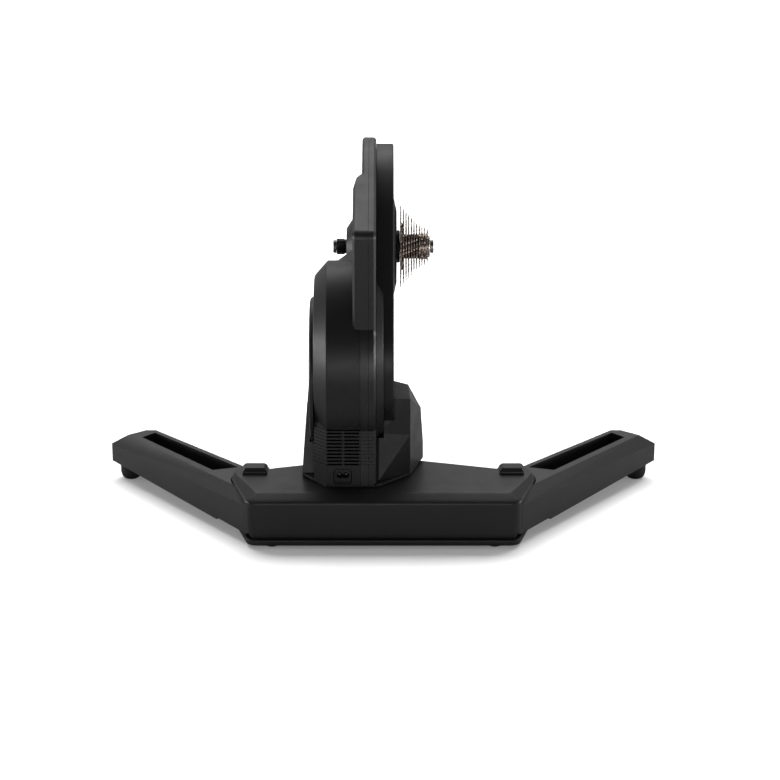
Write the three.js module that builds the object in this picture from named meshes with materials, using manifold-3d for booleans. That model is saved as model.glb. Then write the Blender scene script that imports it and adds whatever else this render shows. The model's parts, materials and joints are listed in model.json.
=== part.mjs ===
// A direct drive bike trainer: a wide base with two folding legs, an upright frame of two halves,
// a flywheel drum on the left, and a belt drive with an eleven speed cassette on the right.
// Millimetres. +X is the drive side, +Y is the way the rider faces, +Z is up.
// The pieces are drawn from the rear face of the base, and the whole is centred at the end.

import * as THREE from "three";
import { mergeVertices } from "three/addons/utils/BufferGeometryUtils.js";
import Module from "manifold-3d";

const wasm = await Module();
wasm.setup();

// Clearances
const seatGap = 0.3; // between pieces that sit on or in each other
const runGap = 0.3; // between a turning or sliding piece and what carries it
const overrun = 2; // how far a cut runs past the face that it opens

// Fineness of round shapes
const largeSides = 48;
const mediumSides = 32;
const smallSides = 20;
const finestSides = 12;
const cornerSteps = 5;

// The two main axes, both along X: the drum stands in the frame's foot, and the axle above and ahead of it
const drumRadius = 127;
const drumFromSpine = 103;
const drumLift = 29.2;
const axleReach = 142;
const axleRise = 103.5;
const axleLength = 142;

// Frame halves
const seamX = -20;
const frameRightWidth = 10;
const frameLeftWidth = 21.3;
const frameFrontWidth = 9.5;
const framePlateWidth = 11.3;
const frameRear = 35;
const frameHeadMargin = 9;
const frameTopSlope = 11.5;
const frameCornerRadius = 10;
const frameFootFront = 250;
const frameEdge = 3;
const frameStepStart = 156;
const frameStepBend = 180;
const frameStepBendWidth = 16.4;
const frameStepEnd = 190;
const framePocketDepth = 5;
const framePocketWall = 8;
const axleBossRadius = 42;
const axleBossTipRadius = 26;
const axleBossShoulder = 11.7;
const axleBossReach = 22.5;
const bearingBossRadius = 26;
const gussetBehind = 94;
const gussetLong = 50;
const gussetAbove = 22;
const gussetRise = -11;
const gussetOuter = 52;
const gussetDepth = 60;

// Flywheel drum on the left
const drumStraight = 45.7;
const drumChamferWidth = 18;
const drumChamferDrop = 21;
const drumWall = 4;
const drumDiscMargin = 5;
const drumDiscDrop = 26.5;
const drumDiscThickness = 6;
const drumDiscEdge = 3;
const drumVentRadius = 30;
const drumFootDepth = 208;
const drumFootChamferWide = 17;
const drumFootChamferDeep = 16;
const drumFootHeight = 115;
const drumFootWall = 3;

// Air slots and power inlet in the rear wall of the drum foot
const slotCount = 11;
const slotPitch = 5.16;
const slotHeight = 2.6;
const slotLowest = 31;
const slotWide = 44;
const slotRib = 3;
const slotFromSeam = 1.4;
const inletWidth = 24;
const inletHeight = 21;
const inletDepth = 18;
const inletFromSeam = 24;
const inletRecess = 1.6;
const inletRim = 2;
const socketReach = 3.75;
const socketRadius = 4.75;
const socketDepth = 12;
const socketRaise = 1.5;
const contactRadius = 1.2;
const contactSpread = 4.6;
const contactLength = 8;

// Circuit board on the left face of the frame
const boardRear = 54;
const boardLong = 72;
const boardRise = 6;
const boardTall = 30;
const boardThickness = 1.6;
const boardStandoff = 8;
const boardPostRadius = 3;
const boardPostInset = 6;
const boardChipLong = 26;
const boardChipTall = 14;
const boardChipThick = 4;

// Belt drive on the right
const beltCoverWidth = 24.1;
const beltCoverRoom = 13;
const beltCoverFootMargin = 13.4;
const beltCoverWall = 3;
const beltCoverEdge = 2;
const flangeWidth = 9.7;
const flangeMargin = 6;
const flangeTaper = 8;
const hubCoverWidth = 4.1;
const hubCoverRadius = 68;
const hubCoverTipRadius = 51;
const pulleyDrop = 28.5;
const pulleyRim = 5;
const pulleyFlange = 3;
const pulleyFlangeWidth = 1.5;
const pulleyInset = 4.9;
const pulleyWebWidth = 5;
const pulleyHubRadius = 21;
const pulleyHubInset = 1.5;
const beltWidth = 10;
const beltThickness = 3;
const beltSideRoom = 0.8;
const beltGap = 0.5;
const motorPulleyRadius = 17;
const collarRadius = 23;
const collarWidth = 4.1;

// Axle and hub bearings
const axleRadius = 8;
const axleBoreRadius = 6;
const axleCapRadius = 9.4;
const axleCapLength = 4.6;
const axleNutRadius = 11.2;
const axleNutLobes = 8;
const axleNutGrooveShare = 0.88;
const hubBearingRadius = 14;
const hubBearingWidth = 8;

// Cassette
const sprocketTeeth = [28, 25, 23, 21, 19, 17, 15, 14, 13, 12, 11];
const chainPitch = 12.7;
const chainRollerRadius = 3.9;
const toothHeight = 2.4;
const toothShares = [0, 0.4, 0.62, 0.78];
const sprocketThickness = 1.8;
const sprocketPitch = 3.74;
const sprocketFromCollar = 0.5;
const spacerRadius = 17.2;
const spacerSmallRadius = 18.2;
const smallSprockets = 4;
const freehubRadius = 14.5;
const freehubBearingRadius = 12;
const lockringRadius = 15.5;
const lockringWidth = 2.5;

// Flywheel, shaft and brake
const flywheelRoom = 15;
const flywheelFromDrumEnd = 11;
const flywheelWidth = 46;
const flywheelRim = 22;
const flywheelWeb = 8;
const flywheelHubRadius = 24;
const flywheelHubLength = 26;
const shaftRadius = 7.5;
const shaftPastFlywheel = 3;
const shaftBearingRadius = 14;
const shaftBearingInset = 0.6;
const statorRoom = 6;
const statorYoke = 20;
const statorLength = 36;
const statorPoles = 12;
const statorPoleDepth = 12;
const statorPoleShares = [0, 0.3, 0.3, 1];

// Belt idler
const idlerRadius = 14;
const idlerShare = 0.3;
const idlerPinRadius = 4;
const idlerArmLength = 44;
const idlerArmThickness = 3;
const idlerArmRadius = 9;
const idlerArmTurn = -150;

// Base
const baseHalfWidth = 191;
const baseCornerRadius = 28;
const baseTrayBottom = 5.6;
const baseLipTop = 12;
const baseGrooveTop = 23;
const baseShoulder = 71;
const baseTop = 77.5;
const baseBevelRear = 20;
const baseBevelSide = 5;
const baseBevelFade = 84;
const baseGrooveDepth = 5;
const baseLipInset = 1;
const baseLipTaper = 2;
const baseWall = 4;
const baseFrontEdgeHalf = 156;
const baseFrontEdgeEnd = 104.6;
const baseFrontEdgeCrown = 142;
const baseFrontEdgePower = 1.1;
const baseFrontSteps = 5;
const baseFootX = 153;
const baseFootForward = 20;
const baseFootRadius = 11.5;
const footPegRadius = 6;
const footPegHeight = 4;
const screwX = 110;
const screwForward = [30, 92];
const screwHeadRadius = 4.5;
const screwHeadHeight = 2.6;
const screwShankRadius = 2;
const screwLength = 28;

// Leg hinges and latches
const hingeX = 175;
const hingeForward = 84;
const lobeRadius = 35;
const lobeEndAngle = 116;
const tongueRadius = 33;
const tongueBottom = 32;
const tongueTop = 60;
const lobeReliefRadius = 36.5;
const forkGap = 2;
const legPinRadius = 6;
const legPinCap = 12;
const latchWidth = 26;
const latchDepth = 17;
const latchHeight = 8;
const latchSkirt = 4;
const latchSkirtHeight = 3;
const latchOutward = 3;
const latchAhead = 7;
const plungerRadius = 3.5;
const plungerOut = 14.5;
const plungerGrooveDepth = 7;
const plungerReach = 5;
const foldAngle = 45;
const grooveSpare = 17;

// Legs
const legAngle = 48.3;
const legFarAngle = 45.5;
const legNearOffset = 56.6;
const legFarOffset = 18.6;
const legReach = 262;
const legRootBack = 45;
const legFarRoot = 20;
const legFarReach = 247.7;
const legShoulderBack = 4;
const legShoulderOffset = 5;
const legBottomRoot = 16;
const legBottomTip = 25;
const legSideRoot = 59;
const legSideTip = 52;
const legRimRoot = 68;
const legRimTip = 62;
const legBevel = 21.6;
const legEndBevel = 10;
const legFarBevel = 1.5;
const legHeelReach = 22;
const legHeelStep = 3;
const neckRoot = 10;
const neckReach = 48;
const neckNearRoot = 18;
const neckNearEnd = 24;
const neckFar = 14;
const pocketRim = 10;
const pocketFarRim = 8.7;
const pocketRoot = 68;
const pocketRootSkew = 17.7;
const pocketEnd = 231;
const pocketFloor = 5;
const legFootRadius = 15.2;
const legFootFromSide = 19.4;
const legFootFromEnd = 19;
const legFootContactRadius = 7;
const legFootCurveShare = 0.7;
const legStudRadius = 5;
const legStudLength = 20;

// Pedestal between the base and the upright
const skirtHeight = 2.2;
const skirtInset = 3;
const pedestalRear = 34;
const pedestalLeft = -112;
const pedestalRearLeft = -81;
const pedestalRearRight = -6;
const pedestalRight = 37;
const pedestalShoulder = 72;
const pedestalWide = 55.5;
const pedestalWideForward = 130;
const pedestalFarWide = 51;
const pedestalFarForward = 205;
const pedestalFront = 262;
const pedestalFrontHalf = 56;
const plinthHeight = 3;
const pedestalCheekRight = -94;
const pedestalCheekSlope = 0.21;
const pedestalLeftSlope = 0.077;
const pedestalLowCreaseRear = 144;
const pedestalLowCreaseSide = 104;
const pedestalHighCreaseSide = 157;
const pedestalTop = 193;
const pedestalBacks = [13, 34, 42];
const pedestalCornerBack = 2;
const pedestalSideLean = 3.5;
const pedestalTopLean = 21.5;
const pedestalRoofX = 10;
const pedestalRoofForward = 142.6;
const pedestalRoofStep = 14;
const pedestalRoofStepDrop = 42;
const pedestalRoofReach = 130;
const pedestalRoofEnd = 109;
const pedestalRoofTurn = 32.7;
const pedestalWall = 5;
const pedestalHollowHeight = 28;

// Front leg under the rider's side of the frame
const frontLegX = -28;
const frontLegHalf = 52;
const frontLegTipHalf = 30;
const frontLegFront = 396;
const frontLegBottom = 6;
const frontLegTipHeight = 42;
const frontLegTipRadius = 22;
const frontLegBevel = 6;
const frontFootForward = 370;
const frontFootRadius = 14;

// Places worked out from the sizes above
const bodyBottom = baseTop + seatGap + skirtHeight + seatGap;
const drumForward = frameRear + drumFromSpine;
const drumHeight = bodyBottom + drumLift + drumRadius;
const axleForward = drumForward + axleReach;
const axleHeight = drumHeight + axleRise;
const drumDiscRadius = drumRadius - drumChamferDrop - drumDiscMargin;
const flywheelRadius = drumRadius - drumWall - flywheelRoom;
const statorRadius = flywheelRadius - flywheelRim - statorRoom;
const statorBoreRadius = statorRadius - statorPoleDepth - statorYoke;
const flangeRadius = drumRadius - flangeMargin;
const flangeTipRadius = flangeRadius - flangeTaper;
const beltCoverFootRadius = flangeTipRadius - beltCoverFootMargin;
const pulleyRadius = axleRise + pulleyDrop;
const beltCoverHeadRadius = pulleyRadius + beltCoverRoom;
const frameHeadRadius = beltCoverHeadRadius + frameHeadMargin;
const frameRightX = seamX + frameRightWidth;
const frameLeftX = seamX - frameLeftWidth;
const frameFrontX = seamX - frameFrontWidth;
const framePlateX = seamX - framePlateWidth;
const drumCoverRightX = framePlateX - seatGap;
const drumShoulderX = framePlateX - drumStraight;
const drumEndX = drumShoulderX - drumChamferWidth;
const drumFootFront = frameRear - seatGap + drumFootDepth;
const drumFootRear = frameRear;
const beltCoverLeftX = frameRightX + seatGap;
const beltCoverRightX = beltCoverLeftX + beltCoverWidth;
const hubCoverLeftX = beltCoverRightX + seatGap;
const hubCoverRightX = hubCoverLeftX + hubCoverWidth;
const collarLeftX = hubCoverRightX + runGap;
const collarRightX = collarLeftX + collarWidth;
const firstSprocketX = collarRightX + sprocketFromCollar + sprocketThickness / 2;
const lastSprocketX = firstSprocketX + (sprocketTeeth.length - 1) * sprocketPitch;
const freehubLeftX = collarRightX + runGap;
const freehubRightX = lastSprocketX + sprocketThickness / 2;
const boardCentreForward = boardRear + boardLong / 2;
const boardCentreHeight = bodyBottom + boardRise + boardTall / 2;
const overallDepth = axleForward + frameHeadRadius;

// Small helpers for places in a plane
const degree = Math.PI / 180;
const mix = (from, to, share) => from + (to - from) * share;
const polar = (centre, radius, angle) => [
  centre[0] + radius * Math.cos(angle),
  centre[1] + radius * Math.sin(angle),
];
const span = (p, q) => Math.hypot(q[0] - p[0], q[1] - p[1]);
const heading = (p, q) => Math.atan2(q[1] - p[1], q[0] - p[0]);

// Points along a circular arc, both ends included
function arc(centre, radius, from, to, steps) {
  return Array.from({ length: steps + 1 }, (_, i) => polar(centre, radius, mix(from, to, i / steps)));
}

// The arc that rounds off a corner between two straight edges
function rounded(before, corner, after, radius, steps) {
  const back = heading(corner, before);
  const turn = wrapped(heading(corner, after) - back);
  const half = Math.abs(turn) / 2;
  const centre = polar(corner, radius / Math.sin(half), back + turn / 2);
  const reach = radius / Math.tan(half);
  const from = heading(centre, polar(corner, reach, back));
  const to = heading(centre, polar(corner, reach, back + turn));
  return arc(centre, radius, from, from + wrapped(to - from), steps);
}

// An angle brought to within half a turn of zero
function wrapped(angle) {
  return Math.atan2(Math.sin(angle), Math.cos(angle));
}

// The angle about a circle's centre where a line from a point outside touches the circle
function touchAngle(point, centre, radius, side) {
  return heading(centre, point) + side * Math.acos(radius / span(point, centre));
}

// An outline moved inwards by an amount, or by an amount worked out at each point
function inset(outline, amount) {
  const inwardNormal = (p, q) => [-(q[1] - p[1]) / span(p, q), (q[0] - p[0]) / span(p, q)];
  return outline.map((point, i) => {
    const before = outline[(i + outline.length - 1) % outline.length];
    const after = outline[(i + 1) % outline.length];
    const m = inwardNormal(before, point);
    const n = inwardNormal(point, after);
    const depth = typeof amount === "function" ? amount(point) : amount;
    const reach = depth / (1 + m[0] * n[0] + m[1] * n[1]);
    return [point[0] + (m[0] + n[0]) * reach, point[1] + (m[1] + n[1]) * reach];
  });
}

// The outline that a taut loop makes round two circles, drawn the way that solids need
function loopOutline(small, smallRadius, large, largeRadius) {
  const line = heading(small, large);
  const lean = Math.acos((smallRadius - largeRadius) / span(small, large));
  const steps = Math.round((largeSides * lean) / Math.PI);
  return [
    ...arc(large, largeRadius, line - lean, line + lean, steps),
    ...arc(small, smallRadius, line + lean, line - lean + 2 * Math.PI, largeSides - steps),
  ];
}

// Frames that turn an outline and its length onto the model's axes
const unitX = new THREE.Vector3(1, 0, 0);
const unitY = new THREE.Vector3(0, 1, 0);
const unitZ = new THREE.Vector3(0, 0, 1);
const alongX = new THREE.Matrix4().makeBasis(unitY, unitZ, unitX); // outline in y and z
const alongY = new THREE.Matrix4().makeBasis(unitZ, unitX, unitY); // outline in z and x
const alongZ = new THREE.Matrix4(); // outline in x and y
const lathedX = new THREE.Matrix4().makeBasis(unitZ, unitX, unitY);
const lathedZ = new THREE.Matrix4().makeBasis(unitY, unitZ, unitX);

// A closed geometry as a solid that can be joined and cut
function solid(geometry) {
  const bare = geometry.clone();
  bare.deleteAttribute("normal");
  bare.deleteAttribute("uv");
  const welded = mergeVertices(bare);
  const points = welded.attributes.position.array;
  const corner = (i) => new THREE.Vector3().fromArray(points, 3 * i);
  const triangles = [];
  let volume = 0;
  for (let i = 0; i < welded.index.count; i += 3) {
    const [a, b, c] = welded.index.array.subarray(i, i + 3);
    if (a === b || b === c || c === a) continue;
    triangles.push([a, b, c]);
    volume += corner(a).dot(corner(b).cross(corner(c)));
  }
  const facing = volume > 0 ? triangles : triangles.map(([a, b, c]) => [a, c, b]);
  const mesh = new wasm.Mesh({
    numProp: 3,
    vertProperties: new Float32Array(points),
    triVerts: new Uint32Array(facing.flat()),
  });
  return new wasm.Manifold(mesh);
}

// A straight prism of an outline between two places along an axis
function prism(outline, from, to, axis) {
  const shape = new THREE.Shape(outline.map(([a, b]) => new THREE.Vector2(a, b)));
  const block = new THREE.ExtrudeGeometry(shape, { depth: to - from, bevelEnabled: false });
  return solid(block.translate(0, 0, from).applyMatrix4(axis));
}

// A rectangular block between two corners
function block(low, high) {
  const size = high.map((value, i) => value - low[i]);
  const middle = high.map((value, i) => (value + low[i]) / 2);
  return solid(new THREE.BoxGeometry(...size).translate(...middle));
}

// A skin through rings of equal point counts, each point [a, b, height], closed flat at both ends
function loft(rings, axis) {
  const flat = rings[0].map(([a, b]) => new THREE.Vector2(a, b));
  const ordered = THREE.ShapeUtils.area(flat) > 0 ? rings : rings.map((ring) => [...ring].reverse());
  const count = flat.length;
  const index = [];
  for (let level = 0; level + 1 < ordered.length; level++) {
    for (let i = 0; i < count; i++) {
      const low = level * count + i;
      const lowNext = level * count + ((i + 1) % count);
      index.push(low, lowNext, lowNext + count, low, lowNext + count, low + count);
    }
  }
  index.push(...cap(ordered[0], 0, false));
  index.push(...cap(ordered[ordered.length - 1], (ordered.length - 1) * count, true));
  const skin = new THREE.BufferGeometry();
  skin.setAttribute("position", new THREE.Float32BufferAttribute(ordered.flat(2), 3));
  skin.setIndex(index);
  return solid(skin.applyMatrix4(axis));
}

// The triangles that close one ring of a loft, facing along the axis or against it
function cap(ring, first, forward) {
  const points = ring.map(([a, b]) => new THREE.Vector2(a, b));
  return THREE.ShapeUtils.triangulateShape(points, []).flatMap((face) => {
    const leftTurn = THREE.ShapeUtils.area(face.map((i) => points[i])) > 0;
    const [a, b, c] = leftTurn === forward ? face : [face[0], face[2], face[1]];
    return [first + a, first + b, first + c];
  });
}

// An outline as one ring of a loft, at one height or at a height worked out at each point
function ring(outline, height) {
  return outline.map((point) => [...point, typeof height === "function" ? height(point) : height]);
}

// A solid of revolution from a profile of [place along the axis, radius]
function turned(profile, sides, frame) {
  const onAxis = profile[0][1] === 0;
  const loop = onAxis ? profile : [...profile, profile[0]];
  const points = loop.map(([along, radius]) => new THREE.Vector2(radius, along));
  return solid(new THREE.LatheGeometry(points, sides).applyMatrix4(frame));
}

const turnedX = (profile, sides) => turned(profile, sides, lathedX);
const turnedZ = (profile, sides) => turned(profile, sides, lathedZ);
const barProfile = (radius, from, to) => [[from, 0], [from, radius], [to, radius], [to, 0]];
const tubeProfile = (outer, inner, from, to) => [[from, inner], [from, outer], [to, outer], [to, inner]];
const barX = (radius, from, to, sides) => turnedX(barProfile(radius, from, to), sides);
const tubeX = (outer, inner, from, to, sides) => turnedX(tubeProfile(outer, inner, from, to), sides);
const postZ = (x, y, radius, from, to, sides) =>
  turnedZ(barProfile(radius, from, to), sides).translate([x, y, 0]);
const atAxle = (piece) => piece.translate([0, axleForward, axleHeight]);
const atDrum = (piece) => piece.translate([0, drumForward, drumHeight]);
const joined = (pieces) => pieces.reduce((whole, piece) => whole.add(piece));
const cut = (whole, pieces) => pieces.reduce((left, piece) => left.subtract(piece), whole);

// Finishes
const finish = (color, roughness, metalness) =>
  new THREE.MeshStandardMaterial({ color, roughness, metalness });
const blackShell = finish(0x222223, 0.5, 0);
const blackCasting = finish(0x1d1d1e, 0.45, 0.2);
const blackRubber = finish(0x141414, 0.9, 0);
const blackMetal = finish(0x101011, 0.35, 0.6);
const greyMetal = finish(0x8b8b8a, 0.4, 0.9);
const cassetteSteel = finish(0x80746d, 0.35, 0.9);
const bearingSteel = finish(0x9c9d9e, 0.3, 1);
const castIron = finish(0x3b3c3e, 0.6, 0.8);
const copper = finish(0x9a5b36, 0.45, 0.8);
const boardGreen = finish(0x1f4a2c, 0.5, 0);

// The assembly, with one group on each of the two axes
const trainer = new THREE.Group();
const axleLine = new THREE.Group();
const drumLine = new THREE.Group();
trainer.add(axleLine, drumLine);
trainer.position.set(0, -overallDepth / 2, 0);
axleLine.position.set(0, axleForward, axleHeight);
drumLine.position.set(0, drumForward, drumHeight);

// Puts a solid into the assembly as a named mesh
function addPiece(name, piece, material, group = trainer, place = [0, 0, 0]) {
  const shape = piece.getMesh();
  const geometry = new THREE.BufferGeometry();
  geometry.setAttribute("position", new THREE.BufferAttribute(shape.vertProperties, shape.numProp));
  geometry.setIndex(new THREE.BufferAttribute(shape.triVerts, 1));
  geometry.computeVertexNormals();
  const mesh = new THREE.Mesh(geometry, material);
  mesh.name = name;
  mesh.position.set(...place);
  group.add(mesh);
}

// Side view of the frame, round the axle at the top and round the drum at the rear
function frameOutline() {
  const axle = [axleForward, axleHeight];
  const drum = [drumForward, drumHeight];
  const foot = [frameFootFront, bodyBottom];
  const low = touchAngle(foot, axle, frameHeadRadius, 1);
  const high = Math.PI / 2 + frameTopSlope * degree;
  const crest = polar(axle, frameHeadRadius, high);
  const cornerHeight = crest[1] - (crest[0] - frameRear) * Math.tan(frameTopSlope * degree);
  const bulge = Math.acos((drumForward - frameRear) / drumRadius);
  return [
    [frameRear, bodyBottom],
    foot,
    ...arc(axle, frameHeadRadius, low, high, largeSides / 2),
    ...rounded(crest, [frameRear, cornerHeight], drumLevel, frameCornerRadius, cornerSteps),
    ...arc(drum, drumRadius, Math.PI - bulge, Math.PI + bulge, Math.round(largeSides / 3)),
  ];
}

const drumLevel = [frameRear, drumHeight];
const beltCoverOutline = loopOutline(
  [drumForward, drumHeight], beltCoverFootRadius, [axleForward, axleHeight], beltCoverHeadRadius);

// Plan of the drum's foot, whose rear and front corners are cut off on the left
function drumFootOutline(rightX) {
  const rearCorner = drumFootRear + drumFootChamferDeep;
  const frontCorner = drumFootFront - drumFootChamferDeep;
  const shoulder = drumEndX + drumFootChamferWide;
  return [
    [drumEndX, rearCorner], [shoulder, drumFootRear], [rightX, drumFootRear],
    [rightX, drumFootFront], [shoulder, drumFootFront], [drumEndX, frontCorner],
  ];
}

// The space that the drum and its foot take beside the frame plate, with clearance
function drumSpace() {
  const round = atDrum(barX(drumRadius + seatGap, drumEndX - overrun, framePlateX, largeSides));
  const foot = inset(drumFootOutline(framePlateX + seatGap), -seatGap)
    .map(([x, y]) => [Math.min(x, framePlateX), y]);
  return round.add(prism(foot, bodyBottom - overrun, drumHeight, alongZ));
}

// Left half of the frame: a deep spine at the rear, a thin plate behind the drum, a cone round the axle
function frameLeft() {
  const outline = frameOutline();
  const half = (leftX) => loft([
    ring(inset(outline, frameEdge), leftX),
    ring(outline, leftX + frameEdge),
    ring(outline, seamX - seatGap / 2),
  ], alongX);
  const spinePlan = [
    [seamX, -overrun], [seamX, frameStepEnd], [frameFrontX, frameStepEnd],
    [seamX - frameStepBendWidth, frameStepBend], [frameLeftX, frameStepStart],
    [frameLeftX - overrun, frameStepStart], [frameLeftX - overrun, -overrun],
  ];
  const spine = half(frameLeftX).intersect(prism(spinePlan, 0, axleHeight + frameHeadRadius, alongZ));
  const shoulderX = frameFrontX - axleBossShoulder;
  const boss = atAxle(turnedX([
    [seamX - framePocketDepth, 0], [seamX - framePocketDepth, axleBossRadius],
    [shoulderX, axleBossRadius], [frameFrontX - axleBossReach, axleBossTipRadius],
    [frameFrontX - axleBossReach, 0],
  ], mediumSides));
  const gussetShoulder = axleHeight + gussetRise;
  const gussetStart = axleForward - gussetBehind;
  const gusset = prism([
    [gussetShoulder - gussetDepth, frameFrontX], [axleHeight + gussetAbove, frameFrontX],
    [gussetShoulder, seamX - gussetOuter], [gussetShoulder - gussetDepth, seamX - gussetOuter],
  ], gussetStart, gussetStart + gussetLong, alongY);
  const pocket = cut(
    prism(inset(outline, framePocketWall), seamX - framePocketDepth, seamX + overrun, alongX),
    [
      atAxle(barX(bearingBossRadius, seamX - frameLeftWidth, seamX + overrun, mediumSides)),
      atDrum(barX(bearingBossRadius, seamX - frameLeftWidth, seamX + overrun, mediumSides)),
    ]);
  return cut(joined([half(frameFrontX), spine, boss, gusset]), [
    drumSpace(), pocket, axleHole(), shaftHole(),
  ]);
}

// The holes through both frame halves, for the axle and for the flywheel's bearings
const axleHole = () =>
  atAxle(barX(axleRadius + seatGap, -axleLength / 2, axleLength / 2, smallSides));
const shaftHole = () =>
  atDrum(barX(shaftBearingRadius + seatGap, frameLeftX, frameRightX + overrun, mediumSides));

// Right half of the frame, with its outer edge cut off at an angle
function frameRight() {
  const outline = frameOutline();
  const plate = loft([
    ring(outline, seamX + seatGap / 2),
    ring(outline, frameRightX - frameEdge),
    ring(inset(outline, frameEdge), frameRightX),
  ], alongX);
  return cut(plate, [axleHole(), shaftHole()]);
}

addPiece("frame_left", frameLeft(), blackCasting);
addPiece("frame_right", frameRight(), blackCasting);

// The drum: a hollow shell with a conical left edge and a foot with air slots at the rear
function drumProfile(wall) {
  return [
    [drumCoverRightX + (wall > 0 ? overrun : 0), 0],
    [drumCoverRightX + (wall > 0 ? overrun : 0), drumRadius - wall],
    [drumShoulderX, drumRadius - wall],
    [drumEndX + wall, drumRadius - drumChamferDrop - wall],
    [drumEndX + wall, 0],
  ];
}

function drumCover() {
  const footTop = bodyBottom + drumFootHeight;
  const foot = prism(drumFootOutline(drumCoverRightX), bodyBottom, footTop, alongZ);
  const footSpace = prism(
    inset(drumFootOutline(drumCoverRightX + drumFootWall + overrun), drumFootWall),
    bodyBottom + drumFootWall, footTop, alongZ);
  const shell = atDrum(turnedX(drumProfile(0), largeSides)).add(foot);
  const space = atDrum(turnedX(drumProfile(drumWall), largeSides)).add(footSpace);
  const vent = atDrum(barX(drumVentRadius, drumEndX - overrun, drumEndX + 2 * drumWall, mediumSides));
  return cut(shell, [space, vent, inletHole(), ...airSlots()]);
}

// Rows of slots through the rear wall, each row in two halves with a rib between
function airSlots() {
  const right = drumCoverRightX - slotFromSeam;
  const middle = right - slotWide / 2;
  const halves = [[right - slotWide, middle - slotRib / 2], [middle + slotRib / 2, right]];
  return Array.from({ length: slotCount }, (_, row) => {
    const low = bodyBottom + slotLowest + row * slotPitch;
    return halves.map(([left, end]) => block(
      [left, drumForward - drumRadius, low],
      [end, drumFootRear + drumFootWall + overrun, low + slotHeight]));
  }).flat();
}

const inletX = drumCoverRightX - inletFromSeam;
const inletCentre = bodyBottom + drumFootWall + seatGap + inletHeight / 2;
const inletHole = () => block(
  [inletX - inletWidth / 2 - seatGap, drumFootRear - overrun, inletCentre - inletHeight / 2 - seatGap],
  [inletX + inletWidth / 2 + seatGap, drumFootRear + drumFootWall + overrun,
    inletCentre + inletHeight / 2 + seatGap]);

// Power inlet: a block with a recessed face, a socket in the form of an eight, and two contacts
function powerInlet() {
  const rear = drumFootRear;
  const halfWide = inletWidth / 2;
  const halfTall = inletHeight / 2;
  const floor = rear + inletRecess + socketDepth;
  const body = block(
    [inletX - halfWide, rear, inletCentre - halfTall],
    [inletX + halfWide, rear + inletDepth, inletCentre + halfTall]);
  const recess = block(
    [inletX - halfWide + inletRim, rear - overrun, inletCentre - halfTall + inletRim],
    [inletX + halfWide - inletRim, rear + inletRecess, inletCentre + halfTall - inletRim]);
  const bar = (x, radius, from, to, sides) => prism(
    arc([inletCentre + socketRaise, x], radius, 0, 2 * Math.PI, sides).slice(1), from, to, alongY);
  const lobes = [-1, 1].map((side) =>
    bar(inletX + side * socketReach, socketRadius, rear, floor, finestSides));
  const contacts = [-1, 1].map((side) => bar(
    inletX + side * contactSpread, contactRadius, floor - contactLength, floor + seatGap, finestSides));
  return joined([cut(body, [recess, ...lobes]), ...contacts]);
}

addPiece("drum_cover", drumCover(), blackShell);
addPiece("power_inlet", powerInlet(), blackShell);

// Round cover on the drum's left end
const discRightX = drumEndX - seatGap;
addPiece("drum_end_disc", turnedX([
  [discRightX, 0], [discRightX, drumDiscRadius],
  [discRightX - drumDiscThickness + drumDiscEdge, drumDiscRadius],
  [discRightX - drumDiscThickness, drumDiscRadius - drumDiscEdge],
  [discRightX - drumDiscThickness, 0],
], largeSides), blackShell, drumLine, [0, 0, -drumDiscDrop]);

// Circuit board on posts that stand on the left face of the frame
function circuitBoard() {
  const rightX = framePlateX - seatGap;
  const boardX = rightX - boardStandoff;
  const halfLong = boardLong / 2;
  const halfTall = boardTall / 2;
  const plate = block(
    [boardX - boardThickness, boardCentreForward - halfLong, boardCentreHeight - halfTall],
    [boardX, boardCentreForward + halfLong, boardCentreHeight + halfTall]);
  const chip = block(
    [boardX - boardThickness - boardChipThick, boardCentreForward - boardChipLong / 2,
      boardCentreHeight - boardChipTall / 2],
    [boardX, boardCentreForward + boardChipLong / 2, boardCentreHeight + boardChipTall / 2]);
  const posts = [-1, 1].flatMap((end) => [-1, 1].map((row) =>
    barX(boardPostRadius, boardX - boardThickness, rightX, finestSides).translate([
      0,
      boardCentreForward + end * (halfLong - boardPostInset),
      boardCentreHeight + row * (halfTall - boardPostInset),
    ])));
  return joined([plate, chip, ...posts]);
}

addPiece("circuit_board", circuitBoard(), boardGreen);

// Belt cover: a thin egg-shaped shell that is open towards the frame
function beltCover() {
  const shell = loft([
    ring(beltCoverOutline, beltCoverLeftX),
    ring(beltCoverOutline, beltCoverRightX - beltCoverEdge),
    ring(inset(beltCoverOutline, beltCoverEdge), beltCoverRightX),
  ], alongX);
  const space = prism(
    inset(beltCoverOutline, beltCoverWall), beltCoverLeftX - overrun, beltCoverRightX - beltCoverWall,
    alongX);
  const hubHole = atAxle(barX(pulleyHubRadius + overrun, beltCoverLeftX, hubCoverRightX, mediumSides));
  return cut(shell, [space, hubHole]);
}

addPiece("belt_cover", beltCover(), blackShell);

// Crescent round the lower end of the belt cover
const beltCoverSpace = (to) =>
  prism(inset(beltCoverOutline, -seatGap), beltCoverLeftX - overrun, to, alongX);
const drumFlange = atDrum(turnedX([
  [beltCoverLeftX, beltCoverFootRadius - beltCoverWall], [beltCoverLeftX, flangeRadius],
  [beltCoverLeftX + flangeWidth, flangeTipRadius],
  [beltCoverLeftX + flangeWidth, beltCoverFootRadius - beltCoverWall],
], largeSides)).subtract(beltCoverSpace(beltCoverRightX));
addPiece("drum_flange", drumFlange, blackShell);

addPiece("hub_cover", turnedX([
  [hubCoverLeftX, collarRadius + runGap], [hubCoverLeftX, hubCoverRadius],
  [hubCoverRightX, hubCoverTipRadius], [hubCoverRightX, collarRadius + runGap],
], largeSides), blackShell, axleLine);

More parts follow.
